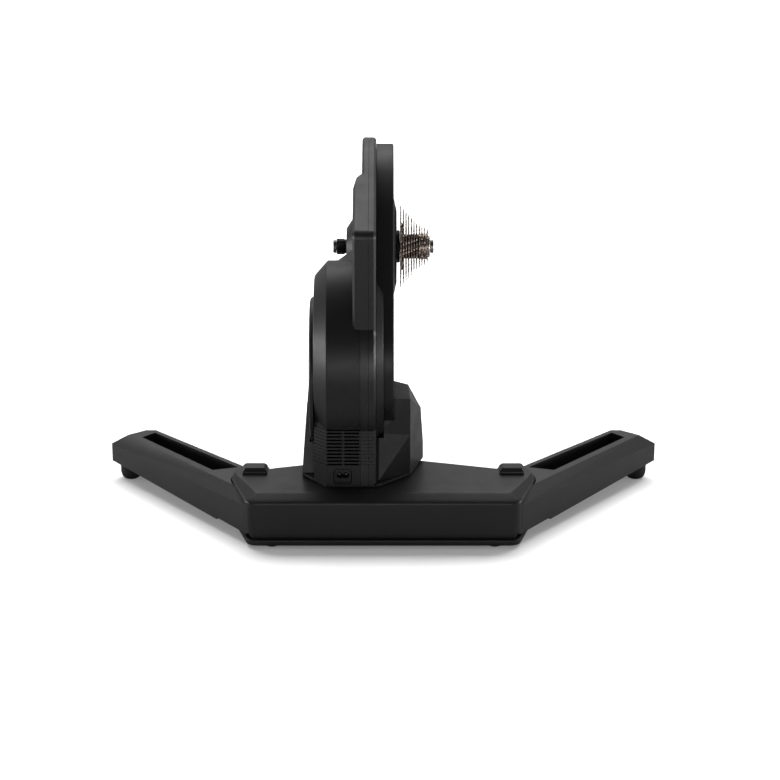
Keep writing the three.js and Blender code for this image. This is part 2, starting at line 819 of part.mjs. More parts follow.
// Fixed axle with its end caps, its nut and the bearings that turn on it
const capInnerX = axleLength / 2 - axleCapLength;
const axleEndX = capInnerX - seatGap;
const axleNutRightX = frameFrontX - axleBossReach - seatGap;
const ringOnAxle = axleRadius + seatGap;
addPiece("axle_tube",
  tubeX(axleRadius, axleBoreRadius, -axleEndX, axleEndX, smallSides), bearingSteel, axleLine);
addPiece("axle_cap_left",
  tubeX(axleCapRadius, axleBoreRadius, -axleLength / 2, -capInnerX, mediumSides), greyMetal, axleLine);
addPiece("axle_cap_right",
  tubeX(axleCapRadius, axleBoreRadius, capInnerX, axleLength / 2, mediumSides), greyMetal, axleLine);

// The nut's grip is a ring of lobes
function axleNut() {
  const step = (2 * Math.PI) / axleNutLobes;
  const outline = Array.from({ length: axleNutLobes }, (_, lobe) => [
    polar([0, 0], axleNutRadius * axleNutGrooveShare, lobe * step),
    polar([0, 0], axleNutRadius, (lobe + 1 / 4) * step),
    polar([0, 0], axleNutRadius, (lobe + 3 / 4) * step),
  ]).flat();
  return prism(outline, -axleEndX, axleNutRightX, alongX)
    .subtract(barX(ringOnAxle, -axleLength / 2, 0, smallSides));
}

addPiece("axle_nut", axleNut(), blackMetal, axleLine);

// Drive pulley: a rim with two flanges, a web and a long hub on two bearings
const pulleyHubLeftX = frameRightX + pulleyHubInset;
const pulleyLeftX = beltCoverLeftX + pulleyInset;
const pulleyRimWidth = beltWidth + 2 * beltSideRoom;
const pulleyRightX = pulleyLeftX + pulleyRimWidth + 2 * pulleyFlangeWidth;
const pulleyMiddleX = (pulleyLeftX + pulleyRightX) / 2;
const hubBoreRadius = hubBearingRadius + runGap;

function pulleyRing(radius, flange) {
  return [
    [pulleyLeftX, radius + flange], [pulleyLeftX + pulleyFlangeWidth, radius + flange],
    [pulleyLeftX + pulleyFlangeWidth, radius], [pulleyRightX - pulleyFlangeWidth, radius],
    [pulleyRightX - pulleyFlangeWidth, radius + flange], [pulleyRightX, radius + flange],
  ];
}

addPiece("drive_pulley", turnedX([
  [pulleyHubLeftX, hubBoreRadius], [pulleyHubLeftX, pulleyHubRadius],
  [pulleyMiddleX - pulleyWebWidth / 2, pulleyHubRadius],
  [pulleyMiddleX - pulleyWebWidth / 2, pulleyRadius - pulleyRim],
  [pulleyLeftX, pulleyRadius - pulleyRim],
  ...pulleyRing(pulleyRadius, pulleyFlange),
  [pulleyRightX, pulleyRadius - pulleyRim],
  [pulleyMiddleX + pulleyWebWidth / 2, pulleyRadius - pulleyRim],
  [pulleyMiddleX + pulleyWebWidth / 2, pulleyHubRadius],
  [hubCoverRightX, pulleyHubRadius], [hubCoverRightX, hubBoreRadius],
], largeSides), blackMetal, axleLine);

const hubBearing = (from, to, outer) => tubeX(outer, ringOnAxle, from, to, smallSides);
addPiece("pulley_bearing_left",
  hubBearing(pulleyHubLeftX, pulleyHubLeftX + hubBearingWidth, hubBearingRadius), bearingSteel, axleLine);
addPiece("pulley_bearing_right",
  hubBearing(hubCoverRightX - hubBearingWidth, hubCoverRightX, hubBearingRadius), bearingSteel, axleLine);
addPiece("freehub_bearing",
  hubBearing(freehubRightX - hubBearingWidth, freehubRightX, freehubBearingRadius), bearingSteel, axleLine);
addPiece("ratchet_collar",
  tubeX(collarRadius, ringOnAxle, collarLeftX, collarRightX, mediumSides), blackMetal, axleLine);

// Freehub body, which carries the sprockets and turns on its own bearing at the outer end
addPiece("freehub_body", turnedX([
  [freehubLeftX, ringOnAxle], [freehubLeftX, freehubRadius], [freehubRightX, freehubRadius],
  [freehubRightX, freehubBearingRadius + runGap],
  [freehubRightX - hubBearingWidth - runGap, freehubBearingRadius + runGap],
  [freehubRightX - hubBearingWidth - runGap, ringOnAxle],
], smallSides), blackMetal, axleLine);
addPiece("lockring",
  tubeX(lockringRadius, ringOnAxle, freehubRightX + seatGap, freehubRightX + seatGap + lockringWidth,
    mediumSides), cassetteSteel, axleLine);

// A sprocket's edge: a flat valley, a slope, a flat tip and a slope for each tooth
function toothOutline(teeth) {
  const pitchRadius = chainPitch / (2 * Math.sin(Math.PI / teeth));
  const root = pitchRadius - chainRollerRadius;
  const tip = pitchRadius + toothHeight;
  const radii = [root, root, tip, tip];
  return Array.from({ length: teeth }, (_, tooth) => toothShares.map((share, i) =>
    polar([0, 0], radii[i], ((tooth + share) * 2 * Math.PI) / teeth))).flat();
}

// A sprocket with the spacer that stands between it and the next one
function sprocket(teeth, place) {
  const half = sprocketThickness / 2;
  const small = place >= sprocketTeeth.length - smallSprockets;
  const plate = prism(toothOutline(teeth), -half, half, alongX);
  const spacerEnd = place + 1 < sprocketTeeth.length ? sprocketPitch - half - seatGap : half;
  const spacer = barX(small ? spacerSmallRadius : spacerRadius, 0, spacerEnd, smallSides);
  return joined([plate, spacer])
    .subtract(barX(freehubRadius + seatGap, -sprocketPitch, sprocketPitch, smallSides));
}

sprocketTeeth.forEach((teeth, place) => {
  addPiece(`sprocket_${teeth}t`, sprocket(teeth, place), cassetteSteel, axleLine,
    [firstSprocketX + place * sprocketPitch, 0, 0]);
});

// Flywheel with a heavy rim, its shaft, the small pulley and the shaft's bearings
const flywheelLeftX = drumEndX + flywheelFromDrumEnd;
const flywheelRightX = flywheelLeftX + flywheelWidth;
const ringOnShaft = shaftRadius + seatGap;
addPiece("flywheel", turnedX([
  [flywheelLeftX, ringOnShaft], [flywheelLeftX, flywheelRadius], [flywheelRightX, flywheelRadius],
  [flywheelRightX, flywheelRadius - flywheelRim],
  [flywheelLeftX + flywheelWeb, flywheelRadius - flywheelRim],
  [flywheelLeftX + flywheelWeb, flywheelHubRadius],
  [flywheelLeftX + flywheelHubLength, flywheelHubRadius],
  [flywheelLeftX + flywheelHubLength, ringOnShaft],
], largeSides), castIron, drumLine);
addPiece("flywheel_shaft",
  barX(shaftRadius, flywheelLeftX - shaftPastFlywheel, pulleyRightX, smallSides), bearingSteel, drumLine);
addPiece("motor_pulley", turnedX([
  [pulleyLeftX, ringOnShaft], ...pulleyRing(motorPulleyRadius, pulleyFlange), [pulleyRightX, ringOnShaft],
], mediumSides), bearingSteel, drumLine);

const shaftBearing = (from, to) =>
  tubeX(shaftBearingRadius, ringOnShaft, from + shaftBearingInset, to - shaftBearingInset, smallSides);
addPiece("shaft_bearing_left", shaftBearing(framePlateX, seamX), bearingSteel, drumLine);
addPiece("shaft_bearing_right", shaftBearing(seamX, frameRightX), bearingSteel, drumLine);

// Brake stator: a ring of poles that stands on the frame inside the flywheel's rim
function brakeStator() {
  const radii = [statorRadius, statorRadius, statorRadius - statorPoleDepth, statorRadius - statorPoleDepth];
  const outline = Array.from({ length: statorPoles }, (_, pole) => statorPoleShares.map((share, i) =>
    polar([0, 0], radii[i], ((pole + share) * 2 * Math.PI) / statorPoles))).flat();
  const right = framePlateX - seatGap;
  return prism(outline, right - statorLength, right, alongX)
    .subtract(barX(statorBoreRadius, right - statorLength - overrun, right + overrun, mediumSides));
}

addPiece("brake_stator", brakeStator(), copper, drumLine);

// Drive belt: a flat loop round both pulleys
const beltLeftX = pulleyLeftX + pulleyFlangeWidth + beltSideRoom;
const beltRightX = beltLeftX + beltWidth;
const beltLoop = (grow) => loopOutline(
  [drumForward, drumHeight], motorPulleyRadius + grow, [axleForward, axleHeight], pulleyRadius + grow);
const driveBelt = prism(beltLoop(beltGap + beltThickness), beltLeftX, beltRightX, alongX)
  .subtract(prism(beltLoop(beltGap), beltLeftX - overrun, beltRightX + overrun, alongX));
addPiece("drive_belt", driveBelt, blackRubber);

// Idler that presses on the belt's lower run, on a pin in an arm that is bolted to the frame
const runLine = heading([drumForward, drumHeight], [axleForward, axleHeight]);
const runSpan = span([drumForward, drumHeight], [axleForward, axleHeight]);
const runNormal = runLine - Math.acos((motorPulleyRadius - pulleyRadius) / runSpan);
const idlerOut = motorPulleyRadius + beltGap + beltThickness + runGap + idlerRadius;
const idlerCentre = polar(
  polar([drumForward, drumHeight], idlerOut, runNormal), idlerShare * runSpan, runNormal + Math.PI / 2);
const atIdler = (piece) => piece.translate([0, ...idlerCentre]);
const idlerBore = idlerPinRadius + runGap;
addPiece("idler_pulley",
  atIdler(tubeX(idlerRadius, idlerBore, beltLeftX, beltRightX, mediumSides)), blackMetal);
addPiece("idler_pin",
  atIdler(barX(idlerPinRadius, beltCoverLeftX, beltRightX, smallSides)), bearingSteel);

function idlerArm() {
  const turn = idlerArmTurn * degree;
  const far = polar(idlerCentre, idlerArmLength, turn);
  const outline = [
    ...arc(far, idlerArmRadius, turn - Math.PI / 2, turn + Math.PI / 2, finestSides),
    ...arc(idlerCentre, idlerArmRadius, turn + Math.PI / 2, turn + Math.PI * 3 / 2, finestSides),
  ];
  return prism(outline, beltCoverLeftX, beltCoverLeftX + idlerArmThickness, alongX)
    .subtract(atIdler(barX(idlerPinRadius + seatGap, beltCoverLeftX - overrun, beltRightX, smallSides)));
}

addPiece("idler_arm", idlerArm(), blackMetal);

// Plan of the base: a straight rear edge, round lobes at the leg hinges and a bowed front edge
function baseOutline() {
  const hinge = [hingeX, hingeForward];
  const sideStart = [baseHalfWidth, baseCornerRadius];
  const touch = touchAngle(sideStart, hinge, lobeRadius, 1);
  const right = [
    ...rounded([0, 0], [baseHalfWidth, 0], sideStart, baseCornerRadius, cornerSteps),
    ...arc(hinge, lobeRadius, touch, lobeEndAngle * degree, 2 * cornerSteps),
    ...Array.from({ length: baseFrontSteps }, (_, i) => {
      const share = 1 - i / baseFrontSteps;
      const dip = (baseFrontEdgeCrown - baseFrontEdgeEnd) * share ** baseFrontEdgePower;
      return [baseFrontEdgeHalf * share, baseFrontEdgeCrown - dip];
    }),
  ];
  const left = right.map(([x, y]) => [-x, y]).reverse();
  return [...right, [0, baseFrontEdgeCrown], ...left];
}

const basePlan = baseOutline();
const baseBevel = (spare) => ([, y]) =>
  spare + mix(baseBevelRear, baseBevelSide, Math.min(Math.max(y, 0) / baseBevelFade, 1));
const atHinges = (make) => [-1, 1].map((side) => make(side * hingeX, hingeForward));
const baseScrews = [-1, 1].flatMap((side) => screwForward.map((y) => [side * screwX, y]));
const screwHeadTop = baseTrayBottom + seatGap + screwHeadHeight;
const screwTop = baseTrayBottom + seatGap + screwLength;

// Upper shell of the base, with a fork at each hinge for the leg's tongue
function baseCover() {
  const shell = loft([
    ring(basePlan, baseGrooveTop), ring(basePlan, baseShoulder),
    ring(inset(basePlan, baseBevel(0)), baseTop),
  ], alongZ);
  const space = loft([
    ring(inset(basePlan, baseWall), baseGrooveTop - overrun),
    ring(inset(basePlan, baseWall), baseShoulder - baseWall),
    ring(inset(basePlan, baseBevel(baseWall)), baseTop - baseWall),
  ], alongZ);
  const lobes = atHinges((x, y) => postZ(x, y, lobeReliefRadius + baseWall, 0, baseTop, mediumSides));
  const screwPosts = baseScrews.map(([x, y]) =>
    postZ(x, y, screwHeadRadius + screwShankRadius, 0, baseTop, finestSides));
  const screwHoles = baseScrews.map(([x, y]) =>
    postZ(x, y, screwShankRadius + seatGap, 0, screwTop + seatGap, finestSides));
  const forks = atHinges((x, y) => postZ(
    x, y, lobeReliefRadius, tongueBottom - forkGap, tongueTop + forkGap, mediumSides));
  const pinHoles = atHinges((x, y) => postZ(
    x, y, legPinRadius + seatGap, 0, tongueTop + legPinCap, smallSides));
  const plungerHoles = [-1, 1].map((side) => postZ(
    side * (hingeX + plungerOut), hingeForward, plungerRadius + runGap, tongueTop, baseTop + overrun,
    finestSides));
  return cut(shell, [
    cut(space, [...lobes, ...screwPosts]), ...forks, ...pinHoles, ...plungerHoles, ...screwHoles,
  ]);
}

addPiece("base_cover", baseCover(), blackShell);

// Lower tray of the base: a lip that shows below a set-back groove
const baseFeet = [-1, 1].map((side) => [side * baseFootX, baseFootForward]);
const trayFloor = baseTrayBottom + footPegHeight + seatGap;

function baseTray() {
  const shell = loft([
    ring(inset(basePlan, baseLipInset + baseLipTaper), baseTrayBottom),
    ring(inset(basePlan, baseLipInset), (baseTrayBottom + baseLipTop) / 2),
    ring(inset(basePlan, baseLipInset), baseLipTop),
    ring(inset(basePlan, baseGrooveDepth), baseLipTop),
    ring(inset(basePlan, baseGrooveDepth), baseGrooveTop - seatGap),
  ], alongZ);
  const posts = [
    ...baseScrews.map(([x, y]) =>
      postZ(x, y, screwHeadRadius + baseWall, baseTrayBottom, baseGrooveTop, finestSides)),
    ...atHinges((x, y) => postZ(x, y, legPinRadius + baseWall, baseTrayBottom, baseGrooveTop,
      smallSides)),
  ];
  const space = prism(inset(basePlan, baseGrooveDepth + baseWall), trayFloor + baseWall,
    baseGrooveTop + overrun, alongZ);
  const pegHoles = baseFeet.map(([x, y]) =>
    postZ(x, y, footPegRadius + seatGap, 0, trayFloor, smallSides));
  const screwHoles = baseScrews.flatMap(([x, y]) => [
    postZ(x, y, screwHeadRadius + seatGap, 0, screwHeadTop + seatGap, finestSides),
    postZ(x, y, screwShankRadius + seatGap, 0, screwTop + seatGap, finestSides),
  ]);
  return cut(shell, [cut(space, posts), ...pegHoles, ...screwHoles]);
}

addPiece("base_tray", baseTray(), blackShell);

// A rubber foot with a peg that fits a hole above it
function rubberFoot(x, y, radius, seat) {
  const top = seat - seatGap;
  return postZ(x, y, radius, 0, top, mediumSides)
    .add(postZ(x, y, footPegRadius, 0, top + footPegHeight, smallSides));
}

const sideNames = { [-1]: "left", 1: "right" };
baseFeet.forEach(([x, y]) => addPiece(
  `base_foot_${sideNames[Math.sign(x)]}`, rubberFoot(x, y, baseFootRadius, baseTrayBottom), blackRubber));
baseScrews.forEach(([x, y], place) => addPiece(`base_screw_${place + 1}`, joined([
  postZ(x, y, screwHeadRadius, baseTrayBottom + seatGap, screwHeadTop, finestSides),
  postZ(x, y, screwShankRadius, baseTrayBottom + seatGap, screwTop, finestSides),
]), bearingSteel));

// Places on a leg: along its near or far side, and outwards from the line through the hinge
function legPlace(side, angle, along, offset) {
  const turn = angle * degree;
  return [
    side * (hingeX + along * Math.cos(turn) + offset * Math.sin(turn)),
    hingeForward + along * Math.sin(turn) - offset * Math.cos(turn),
  ];
}

// How far along its leg a place is, as a share of the leg's reach
function alongShare(side, [x, y]) {
  const turn = legAngle * degree;
  return (Math.cos(turn) * (side * x - hingeX) + Math.sin(turn) * (y - hingeForward)) / legReach;
}

// A leg: a beam with a bevelled top, a deep pocket, and a round tongue that fits the base's fork
function leg(side) {
  const near = (along, offset) => legPlace(side, legAngle, along, offset);
  const far = (along, offset) => legPlace(side, legFarAngle, along, offset);
  const rimOffset = legNearOffset - legBevel;
  const farRim = legFarBevel - legFarOffset;
  const shoulderReach = legReach - legShoulderBack;
  const plan = [
    near(-legRootBack, legNearOffset), near(legReach, legNearOffset),
    near(shoulderReach, legShoulderOffset), far(legFarReach, -legFarOffset),
    far(legFarRoot, -legFarOffset),
  ];
  const rim = [
    near(-legRootBack, rimOffset), near(legReach - legEndBevel, rimOffset),
    near(shoulderReach - legEndBevel, legShoulderOffset), far(legFarReach - legEndBevel, farRim),
    far(legFarRoot, farRim),
  ];
  const pocketPlan = [
    near(pocketRoot, rimOffset - pocketRim), near(pocketEnd, rimOffset - pocketRim),
    far(pocketEnd, pocketFarRim - legFarOffset),
    far(pocketRoot - pocketRootSkew, pocketFarRim - legFarOffset),
  ];
  const heelPlan = [
    near(-legRootBack - overrun, legNearOffset + overrun),
    near(legHeelReach, legNearOffset + overrun),
    far(legHeelReach, -legFarOffset - overrun), far(-legRootBack, -legFarOffset - overrun),
  ];
  const bottom = (point) => mix(legBottomRoot, legBottomTip, alongShare(side, point));
  const body = loft([
    ring(plan, bottom),
    ring(plan, (point) => mix(legSideRoot, legSideTip, alongShare(side, point))),
    ring(rim, (point) => mix(legRimRoot, legRimTip, alongShare(side, point))),
  ], alongZ);
  const relief = postZ(
    side * hingeX, hingeForward, lobeReliefRadius + runGap, 0, baseTop, mediumSides);
  const studHole = postZ(
    ...legFootPlace(side), legStudRadius + runGap, 0, legFootTop + legStudLength + runGap, smallSides);
  const trimmed = cut(body, [
    loft([
      ring(pocketPlan, (point) => bottom(point) + pocketFloor), ring(pocketPlan, baseTop),
    ], alongZ),
    loft([ring(heelPlan, 0), ring(heelPlan, (point) => bottom(point) + legHeelStep)], alongZ),
    relief,
    prism(inset(basePlan, -2 * runGap), 0, baseTop + overrun, alongZ),
    studHole,
  ]);
  const neck = prism([
    near(neckRoot, neckNearRoot), near(neckReach, neckNearEnd),
    far(neckReach, -neckFar), far(neckRoot, -neckFar),
  ], tongueBottom, tongueTop, alongZ);
  const tongue = postZ(side * hingeX, hingeForward, tongueRadius, tongueBottom, tongueTop, mediumSides);
  const pinHole = postZ(side * hingeX, hingeForward, legPinRadius + runGap, 0, baseTop, smallSides);
  return cut(joined([trimmed, tongue, neck]), [pinHole, plungerGroove(side)]);
}

// The curved groove in the tongue that the latch plunger stands in while the leg folds
function plungerGroove(side) {
  const start = -(foldAngle + grooveSpare) * degree;
  const end = grooveSpare * degree;
  const half = plungerRadius + runGap;
  const outer = arc([0, 0], plungerOut + half, start, end, finestSides);
  const inner = arc([0, 0], plungerOut - half, end, start, finestSides);
  const outline = [...outer, ...inner].map(([x, y]) => [side * (hingeX + x), hingeForward + y]);
  return prism(side > 0 ? outline : outline.reverse(), tongueTop - plungerGrooveDepth,
    tongueTop + overrun, alongZ);
}

const legFootRear = (legReach - legFootFromEnd - legFootRadius) / legReach;
const legFootTop = mix(legBottomRoot, legBottomTip, legFootRear) - seatGap;
const legFootPlace = (side) =>
  legPlace(side, legAngle, legReach - legFootFromEnd, legNearOffset - legFootFromSide);

// A levelling foot: a rubber dome on a stud
function legFoot(side) {
  const [x, y] = legFootPlace(side);
  const dome = arc([0, 0], 1, -Math.PI / 2, 0, cornerSteps).map(([out, up]) => [
    legFootTop * (1 + up) * legFootCurveShare,
    legFootContactRadius + (legFootRadius - legFootContactRadius) * out,
  ]);
  return turnedZ([
    [0, 0], ...dome, [legFootTop, legFootRadius], [legFootTop, legStudRadius],
    [legFootTop + legStudLength, legStudRadius], [legFootTop + legStudLength, 0],
  ], smallSides).translate([x, y, 0]);
}

// The latch: a low tapered block on the lobe with a plunger that goes down into the tongue's groove
function legLatch(side) {
  const x = side * (hingeX + latchOutward);
  const y = hingeForward + latchAhead;
  const rectangle = (spare) => {
    const halfWide = latchWidth / 2 + spare;
    const halfDeep = latchDepth / 2 + spare;
    return [[x - halfWide, y - halfDeep], [x + halfWide, y - halfDeep],
      [x + halfWide, y + halfDeep], [x - halfWide, y + halfDeep]];
  };
  const bottom = baseTop + seatGap;
  const knob = loft([
    ring(rectangle(latchSkirt), bottom), ring(rectangle(latchSkirt), bottom + latchSkirtHeight),
    ring(rectangle(0), bottom + latchHeight),
  ], alongZ);
  return knob.add(postZ(side * (hingeX + plungerOut), hingeForward, plungerRadius,
    tongueTop - plungerReach, bottom + latchSkirtHeight, finestSides));
}

for (const side of [-1, 1]) {
  const name = sideNames[side];
  addPiece(`leg_${name}`, leg(side), blackCasting);
  addPiece(`leg_foot_${name}`, legFoot(side), blackRubber);
  addPiece(`leg_latch_${name}`, legLatch(side), blackShell);
  addPiece(`leg_pin_${name}`, postZ(side * hingeX, hingeForward, legPinRadius, baseGrooveTop,
    tongueTop + legPinCap - seatGap, smallSides), bearingSteel);
}

// Plan of the pedestal at its foot, from the rear edge round the drive side
const pedestalPlan = [
  [pedestalRearLeft, pedestalRear], [pedestalRearRight, pedestalRear], [pedestalRight, pedestalShoulder],
  [pedestalWide, pedestalWideForward], [pedestalWide, pedestalFarForward],
  [frontLegX + pedestalFrontHalf, pedestalFront], [frontLegX - pedestalFrontHalf, pedestalFront],
  [pedestalLeft, pedestalFarForward], [pedestalLeft, pedestalWideForward], [pedestalLeft, pedestalShoulder],
];

// The pedestal's corners at one level. The edge beside the belt cover and the right corner stand back from
// their places at the foot, the right side leans in, and the rear and the sides have heights of their own.
function pedestalLevel(edgeBack, cornerBack, rightIn, rear, side) {
  const plinthTop = bodyBottom + plinthHeight;
  const leftAt = (height) => pedestalLeft + (height - plinthTop) * pedestalLeftSlope;
  const cheek = pedestalShoulder + (rear - plinthTop) * pedestalCheekSlope;
  return [
    [pedestalCheekRight, cheek, rear], [pedestalRearRight, pedestalRear + edgeBack, rear],
    [pedestalRight, pedestalShoulder + cornerBack, rear],
    [pedestalWide - rightIn, pedestalWideForward, side],
    [pedestalFarWide - rightIn, pedestalFarForward, side],
    [frontLegX + pedestalFrontHalf, pedestalFront, side],
    [frontLegX - pedestalFrontHalf, pedestalFront, side],
    [leftAt(side), pedestalFarForward, side], [leftAt(side), pedestalWideForward, side],
    [leftAt(rear), cheek, rear],
  ];
}

// One half of the cut that takes the pedestal's top down in front, turned about the middle of its edge
function pedestalRoof(turn) {
  const profile = [
    [0, pedestalTop], [pedestalRoofStep, pedestalTop - pedestalRoofStepDrop],
    [pedestalRoofReach, pedestalRoofEnd], [pedestalRoofReach, pedestalTop + overrun],
    [0, pedestalTop + overrun],
  ];
  return prism(profile, -pedestalFront, pedestalFront, alongX)
    .rotate([0, 0, -turn]).translate([pedestalRoofX, pedestalRoofForward, 0]);
}

// A faceted block that wraps the foot of the upright, on a low plinth and a thin skirt
function pedestal() {
  const skirtTop = bodyBottom - seatGap;
  const plinthTop = bodyBottom + plinthHeight;
  const [footBack, lowBack, topBack] = pedestalBacks;
  const body = loft([
    pedestalLevel(footBack, 0, 0, skirtTop, skirtTop),
    pedestalLevel(footBack, 0, 0, plinthTop, plinthTop),
    pedestalLevel(lowBack, 0, 0, pedestalLowCreaseRear, pedestalLowCreaseSide),
    pedestalLevel(topBack, pedestalCornerBack, pedestalSideLean, pedestalTop, pedestalHighCreaseSide),
    pedestalLevel(topBack, pedestalCornerBack, pedestalTopLean, pedestalTop, pedestalTop),
  ], alongZ).add(prism(pedestalPlan, skirtTop, plinthTop, alongZ));
  const skirt = prism(inset(pedestalPlan, skirtInset), baseTop + seatGap, skirtTop, alongZ);
  const frameSpace = prism(inset(frameOutline(), -seatGap), frameLeftX - seatGap, frameRightX + seatGap,
    alongX).subtract(block(
    [frameLeftX - overrun, frameStepEnd, 0], [frameFrontX - seatGap, overallDepth, pedestalTop + overrun]));
  const discRoom = atDrum(barX(drumDiscRadius + seatGap, discRightX - drumDiscThickness - seatGap,
    drumShoulderX, largeSides)).translate([0, 0, -drumDiscDrop]);
  const flangeRoom = atDrum(barX(
    flangeRadius + seatGap, beltCoverLeftX - overrun, beltCoverLeftX + flangeWidth + seatGap, largeSides));
  const hollowPlan = pedestalPlan.map(([x, y]) => [x, Math.max(y, pedestalRear + lowBack)]);
  const hollow = prism(inset(hollowPlan, pedestalWall), 0, bodyBottom + pedestalHollowHeight, alongZ)
    .intersect(block([beltCoverLeftX + pedestalWall, 0, 0],
      [pedestalWide, pedestalFront, pedestalTop]));
  const beltRoom = beltCoverSpace(beltCoverRightX + seatGap);
  const rearRoom = block(
    [drumEndX - seatGap, 0, 0], [frameRightX + seatGap, drumForward, pedestalTop + overrun]);
  const roofs = [pedestalRoof(0), pedestalRoof(pedestalRoofTurn)];
  return cut(body, [...roofs, frameSpace, drumSpace(), discRoom, flangeRoom, beltRoom, rearRoom])
    .add(skirt)
    .subtract(hollow);
}

addPiece("pedestal", pedestal(), blackShell);

// Front leg: a low beam that runs forward from the base under the frame's head, on one rubber foot
function frontLeg() {
  const tip = frontLegFront;
  const left = frontLegX - frontLegTipHalf;
  const right = frontLegX + frontLegTipHalf;
  const rear = hingeForward;
  const plan = [
    [frontLegX - frontLegHalf, rear], [frontLegX + frontLegHalf, rear],
    [frontLegX + frontLegHalf, pedestalFront],
    ...rounded([frontLegX + frontLegHalf, pedestalFront], [right, tip], [left, tip], frontLegTipRadius,
      cornerSteps),
    ...rounded([right, tip], [left, tip], [frontLegX - frontLegHalf, pedestalFront], frontLegTipRadius,
      cornerSteps),
    [frontLegX - frontLegHalf, pedestalFront],
  ];
  const topAt = (drop) => ([, y]) => -drop + mix(baseTop, frontLegTipHeight,
    Math.max(0, (y - pedestalFront) / (tip - pedestalFront)));
  const beam = loft([
    ring(inset(plan, frontLegBevel), frontLegBottom),
    ring(plan, frontLegBottom + frontLegBevel),
    ring(plan, topAt(frontLegBevel)),
    ring(inset(plan, frontLegBevel), topAt(0)),
  ], alongZ);
  return cut(beam, [
    prism(inset(basePlan, -seatGap), 0, baseTop + overrun, alongZ),
    postZ(frontLegX, frontFootForward, footPegRadius + seatGap, 0,
      frontLegBottom + footPegHeight + seatGap, smallSides),
  ]);
}

addPiece("front_leg", frontLeg(), blackCasting);
addPiece("front_foot",
  rubberFoot(frontLegX, frontFootForward, frontFootRadius, frontLegBottom), blackRubber);

export default trainer;
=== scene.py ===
# %% [markdown]
# # A direct drive bike trainer
#
# The trainer stands on a wide base with two folding legs. A flat upright carries a flywheel drum on its
# left, a belt drive on its right, and an axle with a cassette of sprockets, which takes a bicycle in place
# of its rear wheel. Nearly all of it is satin black, so the light on its edges and curves has to tell its
# shape.
#
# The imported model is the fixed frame. Each visible shell is drawn again here with the rounded edges, grooves
# and tooth forms that the plain solids leave out, and stands for the node that it follows.

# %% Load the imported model
import math
import json

import bmesh
import bpy
import numpy as np
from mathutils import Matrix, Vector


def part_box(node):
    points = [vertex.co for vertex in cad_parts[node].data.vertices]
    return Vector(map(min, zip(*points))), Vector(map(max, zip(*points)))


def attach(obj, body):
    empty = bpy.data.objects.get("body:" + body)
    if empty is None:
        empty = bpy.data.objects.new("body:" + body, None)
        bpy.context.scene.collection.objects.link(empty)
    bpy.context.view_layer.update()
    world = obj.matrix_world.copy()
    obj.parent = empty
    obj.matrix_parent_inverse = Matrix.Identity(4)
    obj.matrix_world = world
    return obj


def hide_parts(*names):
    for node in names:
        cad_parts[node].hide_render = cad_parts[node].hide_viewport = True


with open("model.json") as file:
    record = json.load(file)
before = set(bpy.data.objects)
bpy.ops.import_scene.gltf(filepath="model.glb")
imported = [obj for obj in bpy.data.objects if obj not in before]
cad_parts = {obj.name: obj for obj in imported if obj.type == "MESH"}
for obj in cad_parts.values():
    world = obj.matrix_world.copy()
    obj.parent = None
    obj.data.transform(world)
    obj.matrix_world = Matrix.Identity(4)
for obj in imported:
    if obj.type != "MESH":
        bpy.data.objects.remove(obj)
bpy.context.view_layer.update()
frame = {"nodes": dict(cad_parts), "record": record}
MM = 0.001
nodes = frame["nodes"]

# %% [markdown]
# ## Two helpers for materials
#
# A colour is written as it would be on a paint card, in sRGB, and one function turns it to the linear values
# that the renderer mixes. Another adds one shader node with its settings and its links, so that each finish
# below reads as a short list of what feeds what.

# %% Colours and shader nodes
def linear(hex_colour):
    """A hex colour as linear red, green and blue: below 0.04045 a straight line, above it a power of 2.4."""
    parts = np.array([int(hex_colour[i:i + 2], 16) / 255 for i in (1, 3, 5)])
    curve = np.where(parts <= 0.04045, parts / 12.92, ((parts + 0.055) / 1.055) ** 2.4)
    return (*curve.tolist(), 1.0)


def add(tree, kind, inputs=None, **settings):
    """One shader node; each input is a plain value, or an output socket that is linked to it."""
    made = tree.nodes.new(kind)
    for name, value in settings.items():
        setattr(made, name, value)
    for name, value in (inputs or {}).items():
        if isinstance(value, bpy.types.NodeSocket):
            tree.links.new(value, made.inputs[name])
        else:
            made.inputs[name].default_value = value
    return made


def empty_material(name):
    """A new material without nodes, and its node tree."""
    material = bpy.data.materials.new(name)
    material.use_nodes = True
    material.node_tree.nodes.clear()
    return material, material.node_tree


# %% [markdown]
# ## The finishes
#
# A moulded or coated surface has three scales of detail. The finest is the grain of the mould or the orange
# peel of the paint, which goes into the bump. Wider is a slow drift of gloss from handling and from the way
# that plastic flows. Widest is a faint drift of colour. One function makes all three from real sizes in
# millimetres; a metal gets fine lines or specks by the same three steps.

